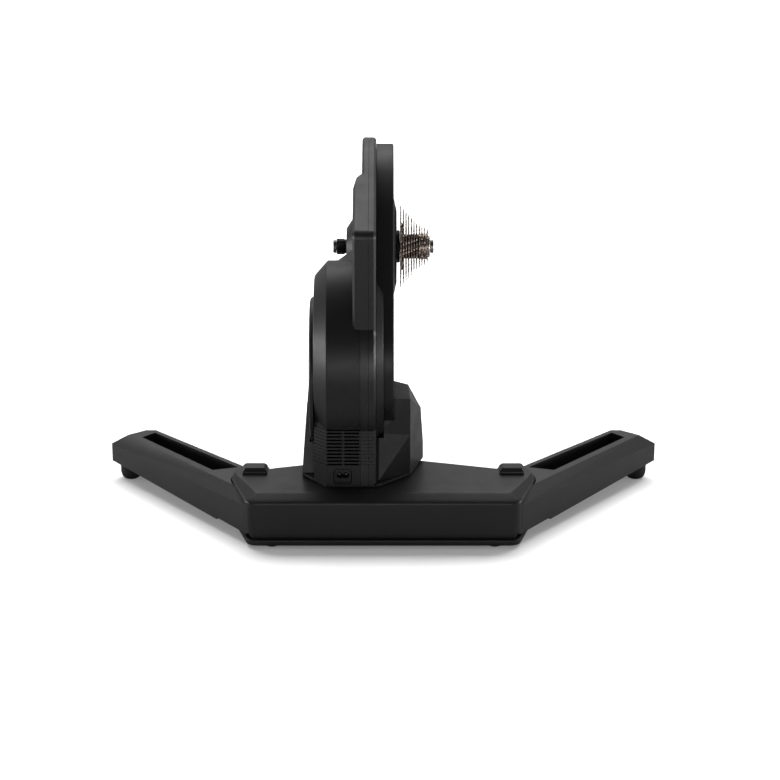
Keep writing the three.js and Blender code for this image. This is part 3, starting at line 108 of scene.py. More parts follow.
# %% One function for grained surfaces
def grained(name, colour, drift, roughness, spread, grain, bump, metallic=0.0, ior=1.5, level=0.5,
            stretch=(1, 1, 1)):
    """A surface with its grain size and bump height in mm.

    Colour mixes two hex colours by a slow noise, roughness runs over plus or minus spread by another, and
    the bump is a fine noise whose cells are one grain wide."""
    material, tree = empty_material(name)
    place = add(tree, "ShaderNodeTexCoord").outputs["Object"]
    slow_size, patch_size = 90, 25
    slow = add(tree, "ShaderNodeTexNoise", {"Vector": place, "Scale": 1 / (slow_size * MM), "Detail": 2.0})
    patch = add(tree, "ShaderNodeTexNoise", {"Vector": place, "Scale": 1 / (patch_size * MM), "Detail": 3.0})
    mixed = add(tree, "ShaderNodeMix", {
        "Factor": slow.outputs["Fac"], "A": linear(colour), "B": linear(drift)}, data_type="RGBA")
    gloss = add(tree, "ShaderNodeMapRange", {
        "Value": patch.outputs["Fac"], "From Min": 0.3, "From Max": 0.7,
        "To Min": roughness - spread, "To Max": roughness + spread})
    turned = add(tree, "ShaderNodeMapping", {"Vector": place, "Scale": stretch})
    fine = add(tree, "ShaderNodeTexNoise", {
        "Vector": turned.outputs["Vector"], "Scale": 1 / (grain * MM), "Detail": 4.0})
    relief = add(tree, "ShaderNodeBump", {
        "Height": fine.outputs["Fac"], "Distance": bump * MM, "Strength": 1.0})
    shader = add(tree, "ShaderNodeBsdfPrincipled", {
        "Base Color": mixed.outputs["Result"], "Roughness": gloss.outputs["Result"],
        "Normal": relief.outputs["Normal"], "Metallic": metallic, "IOR": ior, "Specular IOR Level": level})
    add(tree, "ShaderNodeOutputMaterial", {"Surface": shader.outputs["BSDF"]})
    return material


# %% The trainer's finishes
# Glass filled nylon from a spark eroded mould: satin, with a grain of about 0.6 mm, drawn at 0.9 mm
moulded_nylon = grained("moulded_glass_filled_nylon", "#151516", "#18181a", 0.4, 0.04, 0.9, 0.03, level=0.35)
# Powder coat on cast aluminium: a little glossier, with a soft orange peel of about 2 mm
powder_coat = grained("powder_coat_on_cast_aluminium", "#151517", "#19191b", 0.4, 0.05, 2.0, 0.03, level=0.5)
# Natural rubber with its talc dulled surface
foot_rubber = grained("moulded_rubber", "#101010", "#161616", 0.78, 0.06, 1.2, 0.06, ior=1.52, level=0.3)
# Belt rubber, ground flat on its back
belt_rubber = grained("ground_belt_rubber", "#141414", "#1a1a1a", 0.7, 0.05, 0.6, 0.04, ior=1.52, level=0.35)
# Hard anodised aluminium and blackened steel: dark, with turning marks round the axis
black_anodised = grained("black_anodised_aluminium", "#242425", "#2e2e2f", 0.36, 0.05, 0.5, 0.01,
                         metallic=0.7, stretch=(6, 1, 1))
# Clear anodised aluminium, turned on a lathe
grey_anodised = grained("grey_anodised_aluminium", "#969695", "#a5a5a4", 0.38, 0.05, 0.4, 0.008,
                        metallic=1.0, stretch=(6, 1, 1))
# Nickel plated sprocket steel with a warm tint, blanked from sheet and ground on its faces
sprocket_steel = grained("nickel_plated_sprocket_steel", "#b9aaa1", "#cfc1b8", 0.36, 0.08, 0.5, 0.012,
                         metallic=1.0)
# Ground bearing steel
ground_steel = grained("ground_bearing_steel", "#a5a6a8", "#b4b5b7", 0.24, 0.05, 0.3, 0.004, metallic=1.0,
                       stretch=(8, 1, 1))
# Sand cast iron with its turned rim: coarse grain and a dark skin
cast_iron = grained("sand_cast_iron", "#3a3b3d", "#4a4a4a", 0.6, 0.08, 1.6, 0.09, metallic=0.8)
# Enamelled copper wire: the lines of the turns are drawn by a noise that is stretched along them
enamelled_copper = grained("enamelled_copper_wire", "#8f4a24", "#b0683a", 0.4, 0.06, 1.2, 0.2, metallic=0.9,
                           stretch=(0.1, 1, 1))
# Glass fibre board under green solder mask
solder_mask = grained("green_solder_mask", "#123c1e", "#1b5530", 0.32, 0.05, 1.5, 0.02, ior=1.55)

finishes = {
    "black_shell": moulded_nylon, "black_casting": powder_coat, "black_rubber": foot_rubber,
    "black_metal": black_anodised, "grey_metal": grey_anodised, "cassette_steel": sprocket_steel,
    "bearing_steel": ground_steel, "cast_iron": cast_iron, "copper": enamelled_copper,
    "board_green": solder_mask,
}
slot_of = {entry["node"]: entry["material_slot"] for entry in frame["record"]["subparts"]}
body_of = {node: body for body, group in frame["record"]["behaviour"]["bodies"].items() for node in group}
for name, piece in nodes.items():
    piece.data.materials.clear()
    piece.data.materials.append(finishes[slot_of[name]])
nodes["drive_belt"].data.materials[0] = belt_rubber
print("finishes:", len(finishes) + 1)

# %% [markdown]
# ## Floor, light and camera
#
# The photograph was taken in a white studio with a long lens, from behind and a little above. Black satin
# shows little colour of its own: what the eye reads is the reflection of what stands round it. So the camera
# sees a white floor and a white room, while reflections see a dim floor and a room that is bright only ahead
# of the trainer. A wide lamp hangs ahead of it, two long low ones stand at its sides and light the cut edges
# of the drum, and a weak one low behind it gives the drum its long highlight. The fifth and strongest
# whitens the floor and draws the soft shadow, and reflections leave it out.

# %% Camera
def vector(*values):
    """A place in mm as metres."""
    return tuple(value * MM for value in values)


camera_data = bpy.data.cameras.new("camera")
camera_data.lens = 130.5
camera_data.shift_x = 0.0085
camera_data.clip_end = 40
camera = bpy.data.objects.new("camera", camera_data)
camera.location = vector(0, -3698.3, 1715.9)
camera.rotation_euler = (math.radians(67), 0, 0)
bpy.context.scene.collection.objects.link(camera)
bpy.context.scene.camera = camera
bpy.context.scene.view_settings.view_transform = "Standard"
print("camera at", tuple(round(value, 3) for value in camera.location), "m, lens", camera_data.lens, "mm")

# %% Floor
floor_half = 9000
floor_mesh = bpy.data.meshes.new("floor")
floor_corners = np.array([[-1, -1, 0], [1, -1, 0], [1, 1, 0], [-1, 1, 0]]) * floor_half * MM
floor_mesh.from_pydata(floor_corners.tolist(), [], [[0, 1, 2, 3]])
floor = bpy.data.objects.new("floor", floor_mesh)
bpy.context.scene.collection.objects.link(floor)
floor_paint, tree = empty_material("pale_studio_floor")
rays = add(tree, "ShaderNodeLightPath").outputs
seen = add(tree, "ShaderNodeMath", {0: rays["Is Camera Ray"], 1: rays["Is Transmission Ray"]},
           operation="MAXIMUM")
lit = add(tree, "ShaderNodeBsdfDiffuse", {"Color": linear("#e0e0e0")})
glow_seen = 0.15  # the camera's own share of white
lift = add(tree, "ShaderNodeMath", {0: seen.outputs[0], 1: glow_seen}, operation="MULTIPLY")
glow = add(tree, "ShaderNodeEmission", {"Strength": lift.outputs[0]})
both = add(tree, "ShaderNodeAddShader", {0: lit.outputs["BSDF"], 1: glow.outputs["Emission"]})
place = add(tree, "ShaderNodeTexCoord").outputs["Object"]
along = add(tree, "ShaderNodeSeparateXYZ", {"Vector": place}).outputs["Y"]
# Reflections see mostly the dim floor below the trainer, and only that from 1 m behind its middle
far = add(tree, "ShaderNodeMapRange", {"Value": along, "From Min": -0.4, "From Max": -1.0, "To Min": 0.85})
flagged = add(tree, "ShaderNodeMath", {0: far.outputs["Result"], 1: rays["Is Glossy Ray"]},
              operation="MULTIPLY")
dim = add(tree, "ShaderNodeBsdfDiffuse", {"Color": linear("#5a5a5a")})
mirrored = add(tree, "ShaderNodeMixShader", {0: flagged.outputs[0], 1: both.outputs[0], 2: dim.outputs[0]})
add(tree, "ShaderNodeOutputMaterial", {"Surface": mirrored.outputs["Shader"]})
floor_mesh.materials.append(floor_paint)
print("floor:", 2 * floor_half * MM, "m wide")

# %% World
world = bpy.data.worlds.new("studio")
world.use_nodes = True
bpy.context.scene.world = world
tree = world.node_tree
tree.nodes.clear()
rays = add(tree, "ShaderNodeLightPath").outputs
seen = add(tree, "ShaderNodeMath", {0: rays["Is Camera Ray"], 1: rays["Is Transmission Ray"]},
           operation="MAXIMUM")
towards = add(tree, "ShaderNodeTexCoord").outputs["Generated"]
# In reflections the room brightens towards +Y, ahead of the trainer
front = add(tree, "ShaderNodeVectorMath", {0: towards, 1: (0, 1, 0)}, operation="DOT_PRODUCT")
wall = add(tree, "ShaderNodeMapRange", {
    "Value": front.outputs["Value"], "From Min": 0.3, "From Max": 0.8, "To Min": 0.15, "To Max": 0.63},
    interpolation_type="SMOOTHSTEP")
# A dark patch overhead, 23 degrees back from the zenith, keeps the upward faces dark
rear = add(tree, "ShaderNodeVectorMath", {0: towards, 1: (0, -0.39, 0.92)}, operation="DOT_PRODUCT")
ceiling = add(tree, "ShaderNodeMapRange", {
    "Value": rear.outputs["Value"], "From Min": 0.6, "From Max": 0.9, "To Min": 1.0, "To Max": 0.15},
    interpolation_type="SMOOTHSTEP")
mirrored = add(tree, "ShaderNodeMath", {0: wall.outputs["Result"], 1: ceiling.outputs["Result"]},
               operation="MULTIPLY")
room_light = 0.38  # what diffuse rays see
unseen = add(tree, "ShaderNodeMix", {
    "Factor": rays["Is Glossy Ray"], "A": room_light, "B": mirrored.outputs[0]})
strength = add(tree, "ShaderNodeMix", {"Factor": seen.outputs[0], "A": unseen.outputs["Result"], "B": 1.0})
sky = add(tree, "ShaderNodeBackground", {"Strength": strength.outputs["Result"]})
add(tree, "ShaderNodeOutputWorld", {"Surface": sky.outputs["Background"]})
print("world nodes:", len(tree.nodes))


# %% Lamps
def lamp(name, place, target, width, height, power):
    """A rectangular lamp at a place in mm that faces a target; its power is in watts."""
    data = bpy.data.lights.new(name, "AREA")
    data.shape = "RECTANGLE"
    data.size, data.size_y = width * MM, height * MM
    data.energy = power
    made = bpy.data.objects.new(name, data)
    made.location = vector(*place)
    direction = np.subtract(target, place)
    made.rotation_euler = (math.acos(direction[2] / np.linalg.norm(direction)) - math.pi, 0,
                           math.atan2(direction[1], direction[0]) + math.pi / 2)
    bpy.context.scene.collection.objects.link(made)
    return made


middle, side_height = (0, 0, 230), 165
lamp("back_softbox", (0, 2300, 2400), middle, 2600, 1500, 18)
lamp("left_side", (-2000, 200, side_height), (0, 0, side_height), 1300, 330, 15)
lamp("right_side", (2000, 200, side_height), (0, 0, side_height), 1300, 330, 15)
lamp("low_rear", (0, -3000, 480), middle, 1800, 900, 14)
floor_wash = lamp("floor_wash", (0, 1500, 3400), middle, 6000, 2000, 350)
floor_wash.visible_glossy = False

# %% [markdown]
# ## Helpers for outlines
#
# Most pieces of the trainer start as a flat outline: the plan of the base, the egg of the belt cover, the
# foot of the drum. Each helper works on a whole array of points at once. Corners are rounded with true arcs,
# and an outline is moved inwards along the bisector of each corner, which keeps walls and edges of even
# width.

# %% Outlines
def polar(centre, radius, degrees):
    """Points at the given angles round a centre: centre + radius * (cos, sin)."""
    turn = np.radians(degrees)
    return np.stack([centre[0] + radius * np.cos(turn), centre[1] + radius * np.sin(turn)], axis=-1)


def fillet(corners, radii, steps=8):
    """An outline with each corner replaced by an arc that touches both of its edges.

    With half the corner's angle h, the arc's centre lies radius / sin(h) along the bisector."""
    corners = np.asarray(corners, float)
    radii = np.broadcast_to(np.asarray(radii, float), len(corners))
    back = np.roll(corners, 1, axis=0) - corners
    ahead = np.roll(corners, -1, axis=0) - corners
    back_turn = np.arctan2(back[:, 1], back[:, 0])
    opening = np.arctan2(ahead[:, 1], ahead[:, 0]) - back_turn
    opening = (opening + np.pi) % (2 * np.pi) - np.pi
    half = np.abs(opening) / 2
    bisector = back_turn + opening / 2
    centre = corners + (radii / np.sin(half))[:, None] * np.stack([np.cos(bisector), np.sin(bisector)], -1)
    sweep = np.sign(opening) * (np.pi - 2 * half)
    start = bisector + np.pi + sweep / 2
    turn = start[:, None] - sweep[:, None] * np.linspace(0, 1, steps)[None, :]
    arcs = centre[:, None, :] + radii[:, None, None] * np.stack([np.cos(turn), np.sin(turn)], -1)
    return arcs.reshape(-1, 2)


def inset(outline, depth):
    """An outline that turns left, moved inwards by depth, one number or one for each point.

    Each point moves along the sum of its two edges' inward normals, by depth / (1 + cos of their angle)."""
    edge = np.roll(outline, -1, axis=0) - outline
    edge = edge / np.linalg.norm(edge, axis=1)[:, None]
    normal = np.stack([-edge[:, 1], edge[:, 0]], -1)
    before = np.roll(normal, 1, axis=0)
    share = np.broadcast_to(depth, len(outline)) / (1 + (normal * before).sum(1))
    return outline + (normal + before) * share[:, None]


def belt_loop(low, low_radius, high, high_radius, steps=96):
    """The outline of a taut loop round two circles, from the large one's arc to the small one's."""
    low, high = np.asarray(low), np.asarray(high)
    line = math.degrees(math.atan2(high[1] - low[1], high[0] - low[0]))
    lean = math.degrees(math.acos((low_radius - high_radius) / math.dist(low, high)))
    return np.concatenate([
        polar(high, high_radius, np.linspace(line - lean, line + lean, steps)),
        polar(low, low_radius, np.linspace(line + lean, line - lean + 360, steps // 2)),
    ])


# %% [markdown]
# ## Helpers for surfaces
#
# A solid is a stack of rings: points (a, b) of an outline at a height h, which one table turns onto the
# model's axes. A turned piece is the same thing the other way round: a profile carried round an axis.
# Rounded edges come from how the inset changes with the height. Slots and pockets are cut with solids of the
# same kind, and a copy of a plain solid gets its small rounded edges from a bevel.

# %% Surfaces
axes = {"x": [2, 0, 1], "y": [0, 2, 1], "z": [0, 1, 2]}  # along x an outline is (y, z), along y it is (x, z)


def make_object(name, points, faces):
    """A mesh object from points in mm, without doubles and with its faces turned outwards."""
    mesh = bpy.data.meshes.new(name)
    mesh.from_pydata((np.asarray(points) * MM).tolist(), [], faces)
    made = bpy.data.objects.new(name, mesh)
    bpy.context.scene.collection.objects.link(made)
    tidy = bmesh.new()
    tidy.from_mesh(mesh)
    bmesh.ops.remove_doubles(tidy, verts=tidy.verts, dist=1e-7)
    bmesh.ops.dissolve_degenerate(tidy, edges=tidy.edges, dist=1e-7)
    if tidy.calc_volume(signed=True) < 0:
        bmesh.ops.reverse_faces(tidy, faces=tidy.faces)
    tidy.to_mesh(mesh)
    tidy.free()
    return made


def grid_faces(rings, points, loop):
    """Quads between neighbouring closed rings of a grid; in a loop the last ring meets the first."""
    row = np.arange(rings if loop else rings - 1)[:, None]
    column = np.arange(points)[None, :]
    following = (row + 1) % rings
    beside = (column + 1) % points
    quads = np.stack([row * points + column, row * points + beside,
                      following * points + beside, following * points + column], -1)
    return quads.reshape(-1, 4).tolist()


def stack(name, rings, axis="z", loop=False):
    """A closed skin over rings of (a, b, h) points; its ends are flat unless it runs in a loop."""
    rings = np.asarray(rings, float)
    count, points = rings.shape[:2]
    faces = grid_faces(count, points, loop)
    if not loop:
        first = list(range(points))
        faces += [first[::-1], [(count - 1) * points + i for i in first]]
    return make_object(name, rings.reshape(-1, 3)[:, axes[axis]], faces)


def level(outline, height):
    """A ring: the outline at one height, or at a height for each point."""
    return np.column_stack([outline, np.broadcast_to(height, len(outline))])


def rectangle(left, right, low, high):
    """Four corners, in the order that turns left."""
    return [(left, low), (right, low), (right, high), (left, high)]


def prism(name, outline, low, high, axis="z"):
    """A straight solid on an outline, from one height to another."""
    return stack(name, [level(outline, low), level(outline, high)], axis)


def rounded_prism(name, outline, low, high, low_round, high_round, axis="z", steps=6):
    """A prism whose end edges are quarter circles: inset r(1 - cos t) as the height moves r sin t."""
    turn = np.radians(np.linspace(90, 0, steps))
    rings = [level(inset(outline, low_round * (1 - math.cos(t))), low + low_round * (1 - math.sin(t)))
             for t in turn]
    rings += [level(inset(outline, high_round * (1 - math.cos(t))), high - high_round * (1 - math.sin(t)))
              for t in turn[::-1]]
    return stack(name, rings, axis)


def turned(name, profile, axis="x", centre=(0, 0), sides=128, radius_of=None):
    """A surface of revolution from a closed profile of (along, radius), about a line through centre.

    radius_of can change the radii by the angle round the axis, as lobes and splines do."""
    profile = np.asarray(profile, float)
    turn = np.linspace(0, 2 * np.pi, sides, endpoint=False)[None, :]
    radius = np.repeat(profile[:, 1:], sides, axis=1)
    if radius_of is not None:
        radius = radius_of(radius, turn)
    along = np.repeat(profile[:, :1], sides, axis=1)
    grid = np.stack([centre[0] + radius * np.cos(turn), centre[1] + radius * np.sin(turn), along], -1)
    return stack(name, grid, axis, loop=True)


def rod(name, radius, low, high, axis="x", centre=(0, 0), sides=96):
    """A round bar from one height to another."""
    return prism(name, polar(centre, radius, np.linspace(0, 360, sides, endpoint=False)), low, high, axis)


# %% Cutting, softening and finishing
def freeze(piece):
    """Applies a piece's modifiers to its mesh."""
    evaluated = piece.evaluated_get(bpy.context.evaluated_depsgraph_get())
    mesh = bpy.data.meshes.new_from_object(evaluated)
    piece.modifiers.clear()
    piece.data = mesh
    return piece


def combine(piece, others, operation):
    """Joins a piece with other closed pieces, one after another, and uses these up."""
    for other in others:
        step = piece.modifiers.new(operation, "BOOLEAN")
        step.object = other
        step.operation = operation
        step.solver = "MANIFOLD"
    freeze(piece)
    for other in others:
        bpy.data.objects.remove(other)
    return piece


def cut(piece, *cutters):
    """Takes the cutters away from a piece."""
    return combine(piece, cutters, "DIFFERENCE")


def fuse(piece, *others):
    """Joins others to a piece."""
    return combine(piece, others, "UNION")


def bench_copy(node, name, flat=0.6):
    """A copy of a CAD node with its doubles merged and its flat faces made whole, ready for a bevel."""
    mesh = nodes[node].data.copy()
    mesh.name = name
    mesh.materials.clear()
    made = bpy.data.objects.new(name, mesh)
    bpy.context.scene.collection.objects.link(made)
    tidy = bmesh.new()
    tidy.from_mesh(mesh)
    bmesh.ops.remove_doubles(tidy, verts=tidy.verts, dist=2e-6)
    bmesh.ops.dissolve_limit(tidy, angle_limit=math.radians(flat), verts=tidy.verts, edges=tidy.edges)
    tidy.to_mesh(mesh)
    tidy.free()
    return made


def soften(piece, width, segments=3, angle=32):
    """Rounds the edges sharper than an angle."""
    bevel = piece.modifiers.new("soft_edges", "BEVEL")
    bevel.limit_method = "ANGLE"
    bevel.angle_limit = math.radians(angle)
    bevel.width = width * MM
    bevel.segments = segments
    bevel.use_clamp_overlap = True
    return piece


def finish(piece, replaced, material=None, crease=34):
    """Shades a piece, gives it its node's finish, and puts it on its node's body in the node's place.

    Normals weighted by the faces' areas keep the flats flat and leave the bend to the narrow round edges."""
    replaced = [replaced] if isinstance(replaced, str) else list(replaced)
    piece.data.set_sharp_from_angle(angle=math.radians(crease))
    true_flats = piece.modifiers.new("true_flats", "WEIGHTED_NORMAL")
    true_flats.keep_sharp = True
    piece.data.materials.clear()
    piece.data.materials.append(material or finishes[slot_of[replaced[0]]])
    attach(piece, body_of[replaced[0]])
    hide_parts(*replaced)
    print(piece.name, "in place of", *replaced, "with", len(piece.data.polygons), "faces")
    return piece


def node_box(node):
    """The low and the high corner of a node's box, in mm."""
    return [np.array(corner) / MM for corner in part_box(node)]


# %% [markdown]
# ## The base
#
# The base is a moulded cover over a tray. Its plan has a straight rear edge, a round lobe at each leg hinge
# and a bowed front edge. The cover's rear edge is cut off at an angle that fades away towards the front, and
# both of its edges are rounded, so they catch the light. A groove runs all round between cover and tray.

# %% Plan of the base
base_rear = -217
hinge = (175, -133)
hinges = [(side * hinge[0], hinge[1]) for side in (-1, 1)]
lobe_radius = 35
rear_half, rear_corner = 186, 16
front_half, front_end, front_crown = 156, 104.6, 142
arc_points = 16
corner = (rear_half, base_rear)
lean = math.degrees(math.atan2(corner[1] - hinge[1], corner[0] - hinge[0]))
first_touch = lean + math.degrees(math.acos(lobe_radius / math.dist(corner, hinge)))
last_touch = 116
touch = polar(hinge, lobe_radius, first_touch)
corner_arc = fillet([(0, base_rear), corner, touch], [0, rear_corner, 0], arc_points)[arc_points:-arc_points]
# One long step at the lobe's end leaves room for the corner there to move inwards
lobe_arc = polar(hinge, lobe_radius, np.append(np.linspace(first_touch, last_touch - 14, 31), last_touch))
# The front edge bows between its ends, a little fuller than two straight lines
front_share = np.linspace(1, 0, 30)[:-1]
front_edge = np.stack([
    front_half * front_share,
    base_rear + front_crown - (front_crown - front_end) * front_share ** 1.1], -1)
right_half = np.concatenate([corner_arc, lobe_arc, front_edge])
left_half = (right_half * [-1, 1])[::-1]
base_plan = np.concatenate([right_half, [[0, base_rear + front_crown]], left_half])
print("base plan:", len(base_plan), "points")

# %% Cover of the base
cover_low, cover_shoulder, cover_top = 23, 71, 77.5
cover_wall = 4
bevel_depth = np.interp(base_plan[:, 1] - base_rear, [0, 84], [20, 5])


def drawn_in(plan, depth):
    """The base's plan moved inwards, with each rear corner rounded anew by its radius less the depth."""
    moved = inset(plan, depth)
    rear_line, (near, far) = moved[0, 1], moved[arc_points - 1:arc_points + 1]
    meet = near + (far - near) * (rear_line - near[1]) / (far[1] - near[1])
    radius = max(rear_corner - depth[0], 1)
    arc = fillet([(0, rear_line), meet, far], [0, radius, 0], arc_points)[arc_points:-arc_points]
    moved[:arc_points], moved[-arc_points:] = arc, (arc * [-1, 1])[::-1]
    return moved


def cover_rings(plan, wall):
    """Rings up the side, over a rounded shoulder and a slope, to a rounded top edge.

    Each ring is the plan moved inwards by the wall and by a share of the bevel's depth."""
    heights = np.array([cover_low - wall, cover_shoulder - 4, cover_shoulder - 1.6, cover_shoulder - 0.2,
                        cover_shoulder + 1.0, cover_shoulder + 2.6, cover_top - 1.5, cover_top - 0.45,
                        cover_top - 0.05])
    shares = np.array([0, 0, 0.015, 0.06, 0.16, 0.36, 0.78, 0.93, 1.06])
    heights[1:] -= wall
    return [level(drawn_in(plan, wall + share * bevel_depth), height)
            for share, height in zip(shares, heights)] + [
                level(drawn_in(plan, wall + 1.25 * bevel_depth), cover_top - wall)]


base_cover = stack("base_cover_shell", cover_rings(base_plan, 0))
cavity = stack("cavity", cover_rings(base_plan, cover_wall))
plunger_out = 14.5
cut(cavity, *[rod("boss", 40.5, 0, cover_top, "z", place) for place in hinges])
forks = [rod("fork", 36.5, 30, 62, "z", place) for place in hinges]
plunger_holes = [rod("hole", 3.8, 58, 80, "z", (side * (hinge[0] + plunger_out), hinge[1]))
                 for side in (-1, 1)]
pin_holes = [rod("hole", 6.3, 20, 72, "z", place) for place in hinges]
cut(base_cover, cavity, *forks, *plunger_holes, *pin_holes)
finish(base_cover, "base_cover")

# %% Tray of the base, with the lip below the groove
# Insets and heights: a round lip, then the groove, then the wall that the cover stands round
tray_rings = [(1.9, 5.6), (1.3, 5.8), (1.1, 6.5), (1.0, 8.2), (1.0, 12.3), (1.3, 13.2), (2.0, 13.7),
              (7.6, 13.8), (8.0, 14.2), (8.0, 22.7)]
tray_floor_top = 13.9
screw_places = [(side * 110, base_rear + y) for side in (-1, 1) for y in (30, 92)]
base_tray = stack("base_tray_lip", [level(inset(base_plan, depth), height) for depth, height in tray_rings])
tray_hollow = prism("hollow", inset(base_plan, 9), tray_floor_top, 30)
cut(tray_hollow, *[rod("post", 10, 0, 40, "z", place) for place in hinges],
    *[rod("post", 8.5, 0, 40, "z", place) for place in screw_places])
counterbores = [rod("bore", 4.8, 0, 8.8, "z", place, 48) for place in screw_places]
shank_holes = [rod("bore", 2.3, 4, 40, "z", place, 32) for place in screw_places]
cut(base_tray, tray_hollow, *counterbores, *shank_holes)
finish(base_tray, "base_tray")

# %% [markdown]
# ## Rubber feet
#
# The feet under the base are flat pads with a rounded edge. The feet at the ends of the legs are deep domes
# on studs, because they screw in and out to level the trainer. All are turned shapes, and each profile ends
# on the axis, so it closes by itself.

# %% Feet
def pad_foot(name, node):
    """A pad as wide as its node, with a rolled edge, a round groove in its tread and its peg."""
    low, high = node_box(node)
    centre = (low[:2] + high[:2]) / 2
    radius = (high[0] - low[0]) / 2
    top = high[2] - 4
    profile = [(0, 0), (0, radius * 0.38), (0.7, radius * 0.42), (0.7, radius * 0.5), (0, radius * 0.54),
               (0, radius - 2.2), (0.3, radius - 1.2), (1.1, radius - 0.3), (2.2, radius),
               (top, radius - 0.2), (top, 6), (high[2], 6), (high[2], 0)]
    return finish(turned(name, profile, "z", centre, 72), node)


def dome_foot(name, node):
    """A dome on a stud: its radius follows a quarter of an ellipse up to a straight band."""
    low, high = node_box(node)
    centre = (low[:2] + high[:2]) / 2
    radius, contact, top = (high[0] - low[0]) / 2, 8, high[2] - 20
    turn = np.linspace(-90, 0, 14)
    dome = np.stack([top * 0.5 * (1 + np.sin(np.radians(turn))),
                     contact + (radius - contact) * np.cos(np.radians(turn))], -1)
    profile = [(0, 0), *dome.tolist(), (top - 1.2, radius), (top - 0.3, radius - 0.4), (top, radius - 1.2),
               (top, 5), (high[2] - 0.8, 5), (high[2], 4.2), (high[2], 0)]
    return finish(turned(name, profile, "z", centre, 72), node)


for side in ("left", "right"):
    pad_foot(f"base_pad_{side}", f"base_foot_{side}")
    dome_foot(f"leg_dome_{side}", f"leg_foot_{side}")
pad_foot("front_pad", "front_foot")

# %% [markdown]
# ## The legs
#
# Each leg is one casting: a beam with a deep pocket that saves weight and serves as a grip. Its side towards
# the camera leans over in a wide bevel. The plain solids already have these planes, so each visible leg is a
# copy with its edges rounded by a bevel, as the draft and the tumbling of a real casting leave them.

# %% Legs, latches and the front leg
for side in ("left", "right"):
    leg, latch = f"leg_{side}", f"leg_latch_{side}"
    finish(soften(bench_copy(leg, leg + "_casting"), 1.2), leg, crease=12)
    finish(soften(bench_copy(latch, latch + "_block"), 1), latch, crease=20)
finish(soften(bench_copy("front_leg", "front_leg_casting"), 2), "front_leg", crease=15)

# %% [markdown]
# ## Pedestal and frame
#
# The pedestal is a block of flat facets that wraps the foot of the upright. The upright is two cast halves
# with a seam between them. Copies of the plain solids keep every plane; small bevels give the bright lines
# along the edges that the photograph shows, and shallow grooves carry the lines of the air slots across.

# %% Pedestal
finish(soften(bench_copy("pedestal", "pedestal_block"), 1.2), "pedestal", crease=12)

# %% Lines that carry on from the air slots
body_bottom = 80.3
first_slot, slot_pitch, slot_count = 31, 5.16, 11
slot_rows = body_bottom + first_slot + slot_pitch * np.arange(slot_count)
slot_height, groove_margin = 2.6, 0.6
groove_plan = np.array([
    [-97, base_rear + 49.5], [-79, base_rear + 32.5], [-8, base_rear + 32.5], [-8, base_rear + 35.7],
    [-77.7, base_rear + 35.7], [-94.5, base_rear + 51.6]])


def groove_cutters():
    """Thin plates at the heights of the slots, which reach a little into the walls of frame and drum."""
    return [prism("groove", groove_plan, low + groove_margin, low + slot_height - groove_margin)
            for low in slot_rows]


print("slots at", np.round(slot_rows, 1).tolist(), "mm")

# %% Frame halves
for node in ("frame_left", "frame_right"):
    half = bench_copy(node, node + "_casting")
    cut(half, *groove_cutters())
    finish(soften(half, 0.7), node, crease=20)

# %% [markdown]
# ## The drum
#
# The drum cover is turned at its top and boxed at its foot, where a panel of air slots and the power inlet
# look to the rear. It is made as a bench joiner would: the outer form first, the foot joined to it, then the
# hollow, the slots and the inlet's hole cut out. The turned part has 192 sides, so its outline stays round.

# %% Drum cover
drum = (-79, 236.5)  # its axis, as (y, z)
cover_right, shoulder_x, end_x = -31.6, -77, -95
drum_radius, end_radius, drum_wall = 127, 106, 4
outer = [(cover_right, 0), (cover_right, drum_radius), (shoulder_x + 1.5, drum_radius),
         (shoulder_x, drum_radius - 0.45), (shoulder_x - 1.2, drum_radius - 1.6),
         (end_x + 1.3, end_radius + 1.6), (end_x + 0.4, end_radius + 0.2), (end_x, end_radius - 1.6),
         (end_x, 0)]
inner = [(cover_right + 2, 0), (cover_right + 2, drum_radius - drum_wall),
         (shoulder_x, drum_radius - drum_wall), (end_x + drum_wall, end_radius - drum_wall),
         (end_x + drum_wall, 0)]
drum_cover = turned("drum_cover_shell", outer, "x", drum, 192)
foot_rear, foot_front, foot_slant_x, foot_slant_y = base_rear + 35, base_rear + 242.7, 17, 16
foot_corners = [(end_x, foot_rear + foot_slant_y), (end_x + foot_slant_x, foot_rear),
                (cover_right, foot_rear), (cover_right, foot_front),
                (end_x + foot_slant_x, foot_front), (end_x, foot_front - foot_slant_y)]
foot_plan = fillet(foot_corners, [1.5, 1.5, 0.3, 0.3, 1.5, 1.5], 5)
foot_top = body_bottom + 115
fuse(drum_cover, prism("foot", foot_plan, body_bottom, foot_top))
foot_wall, hollow_right = 3, -28
hollow_corners = [(end_x + foot_wall, foot_rear + 17.3), (end_x + 18.2, foot_rear + foot_wall),
                  (hollow_right, foot_rear + foot_wall), (hollow_right, foot_front - foot_wall),
                  (end_x + 18.2, foot_front - foot_wall), (end_x + foot_wall, foot_front - 17.3)]
cut(drum_cover, turned("hollow", inner, "x", drum, 192))
cut(drum_cover, prism("hollow", np.array(hollow_corners), body_bottom + foot_wall, foot_top))
slot_columns = ((-77, -56.5), (-53.5, -33))
behind_foot, through_wall = -190, foot_rear + 6
slots = [prism("slot", fillet(rectangle(left, right, low, low + slot_height), 1.1, 4),
               behind_foot, through_wall, "y")
         for low in slot_rows for left, right in slot_columns]
inlet_x, inlet_z, inlet_half_wide, inlet_half_tall = -55.6, 94.1, 12, 10.5
inlet_outline = fillet(rectangle(inlet_x - inlet_half_wide, inlet_x + inlet_half_wide,
                                 inlet_z - inlet_half_tall, inlet_z + inlet_half_tall), 4.5, 7)
inlet_room = 0.8
inlet_hole = prism("hole", inset(inlet_outline, -inlet_room), behind_foot, through_wall, "y")
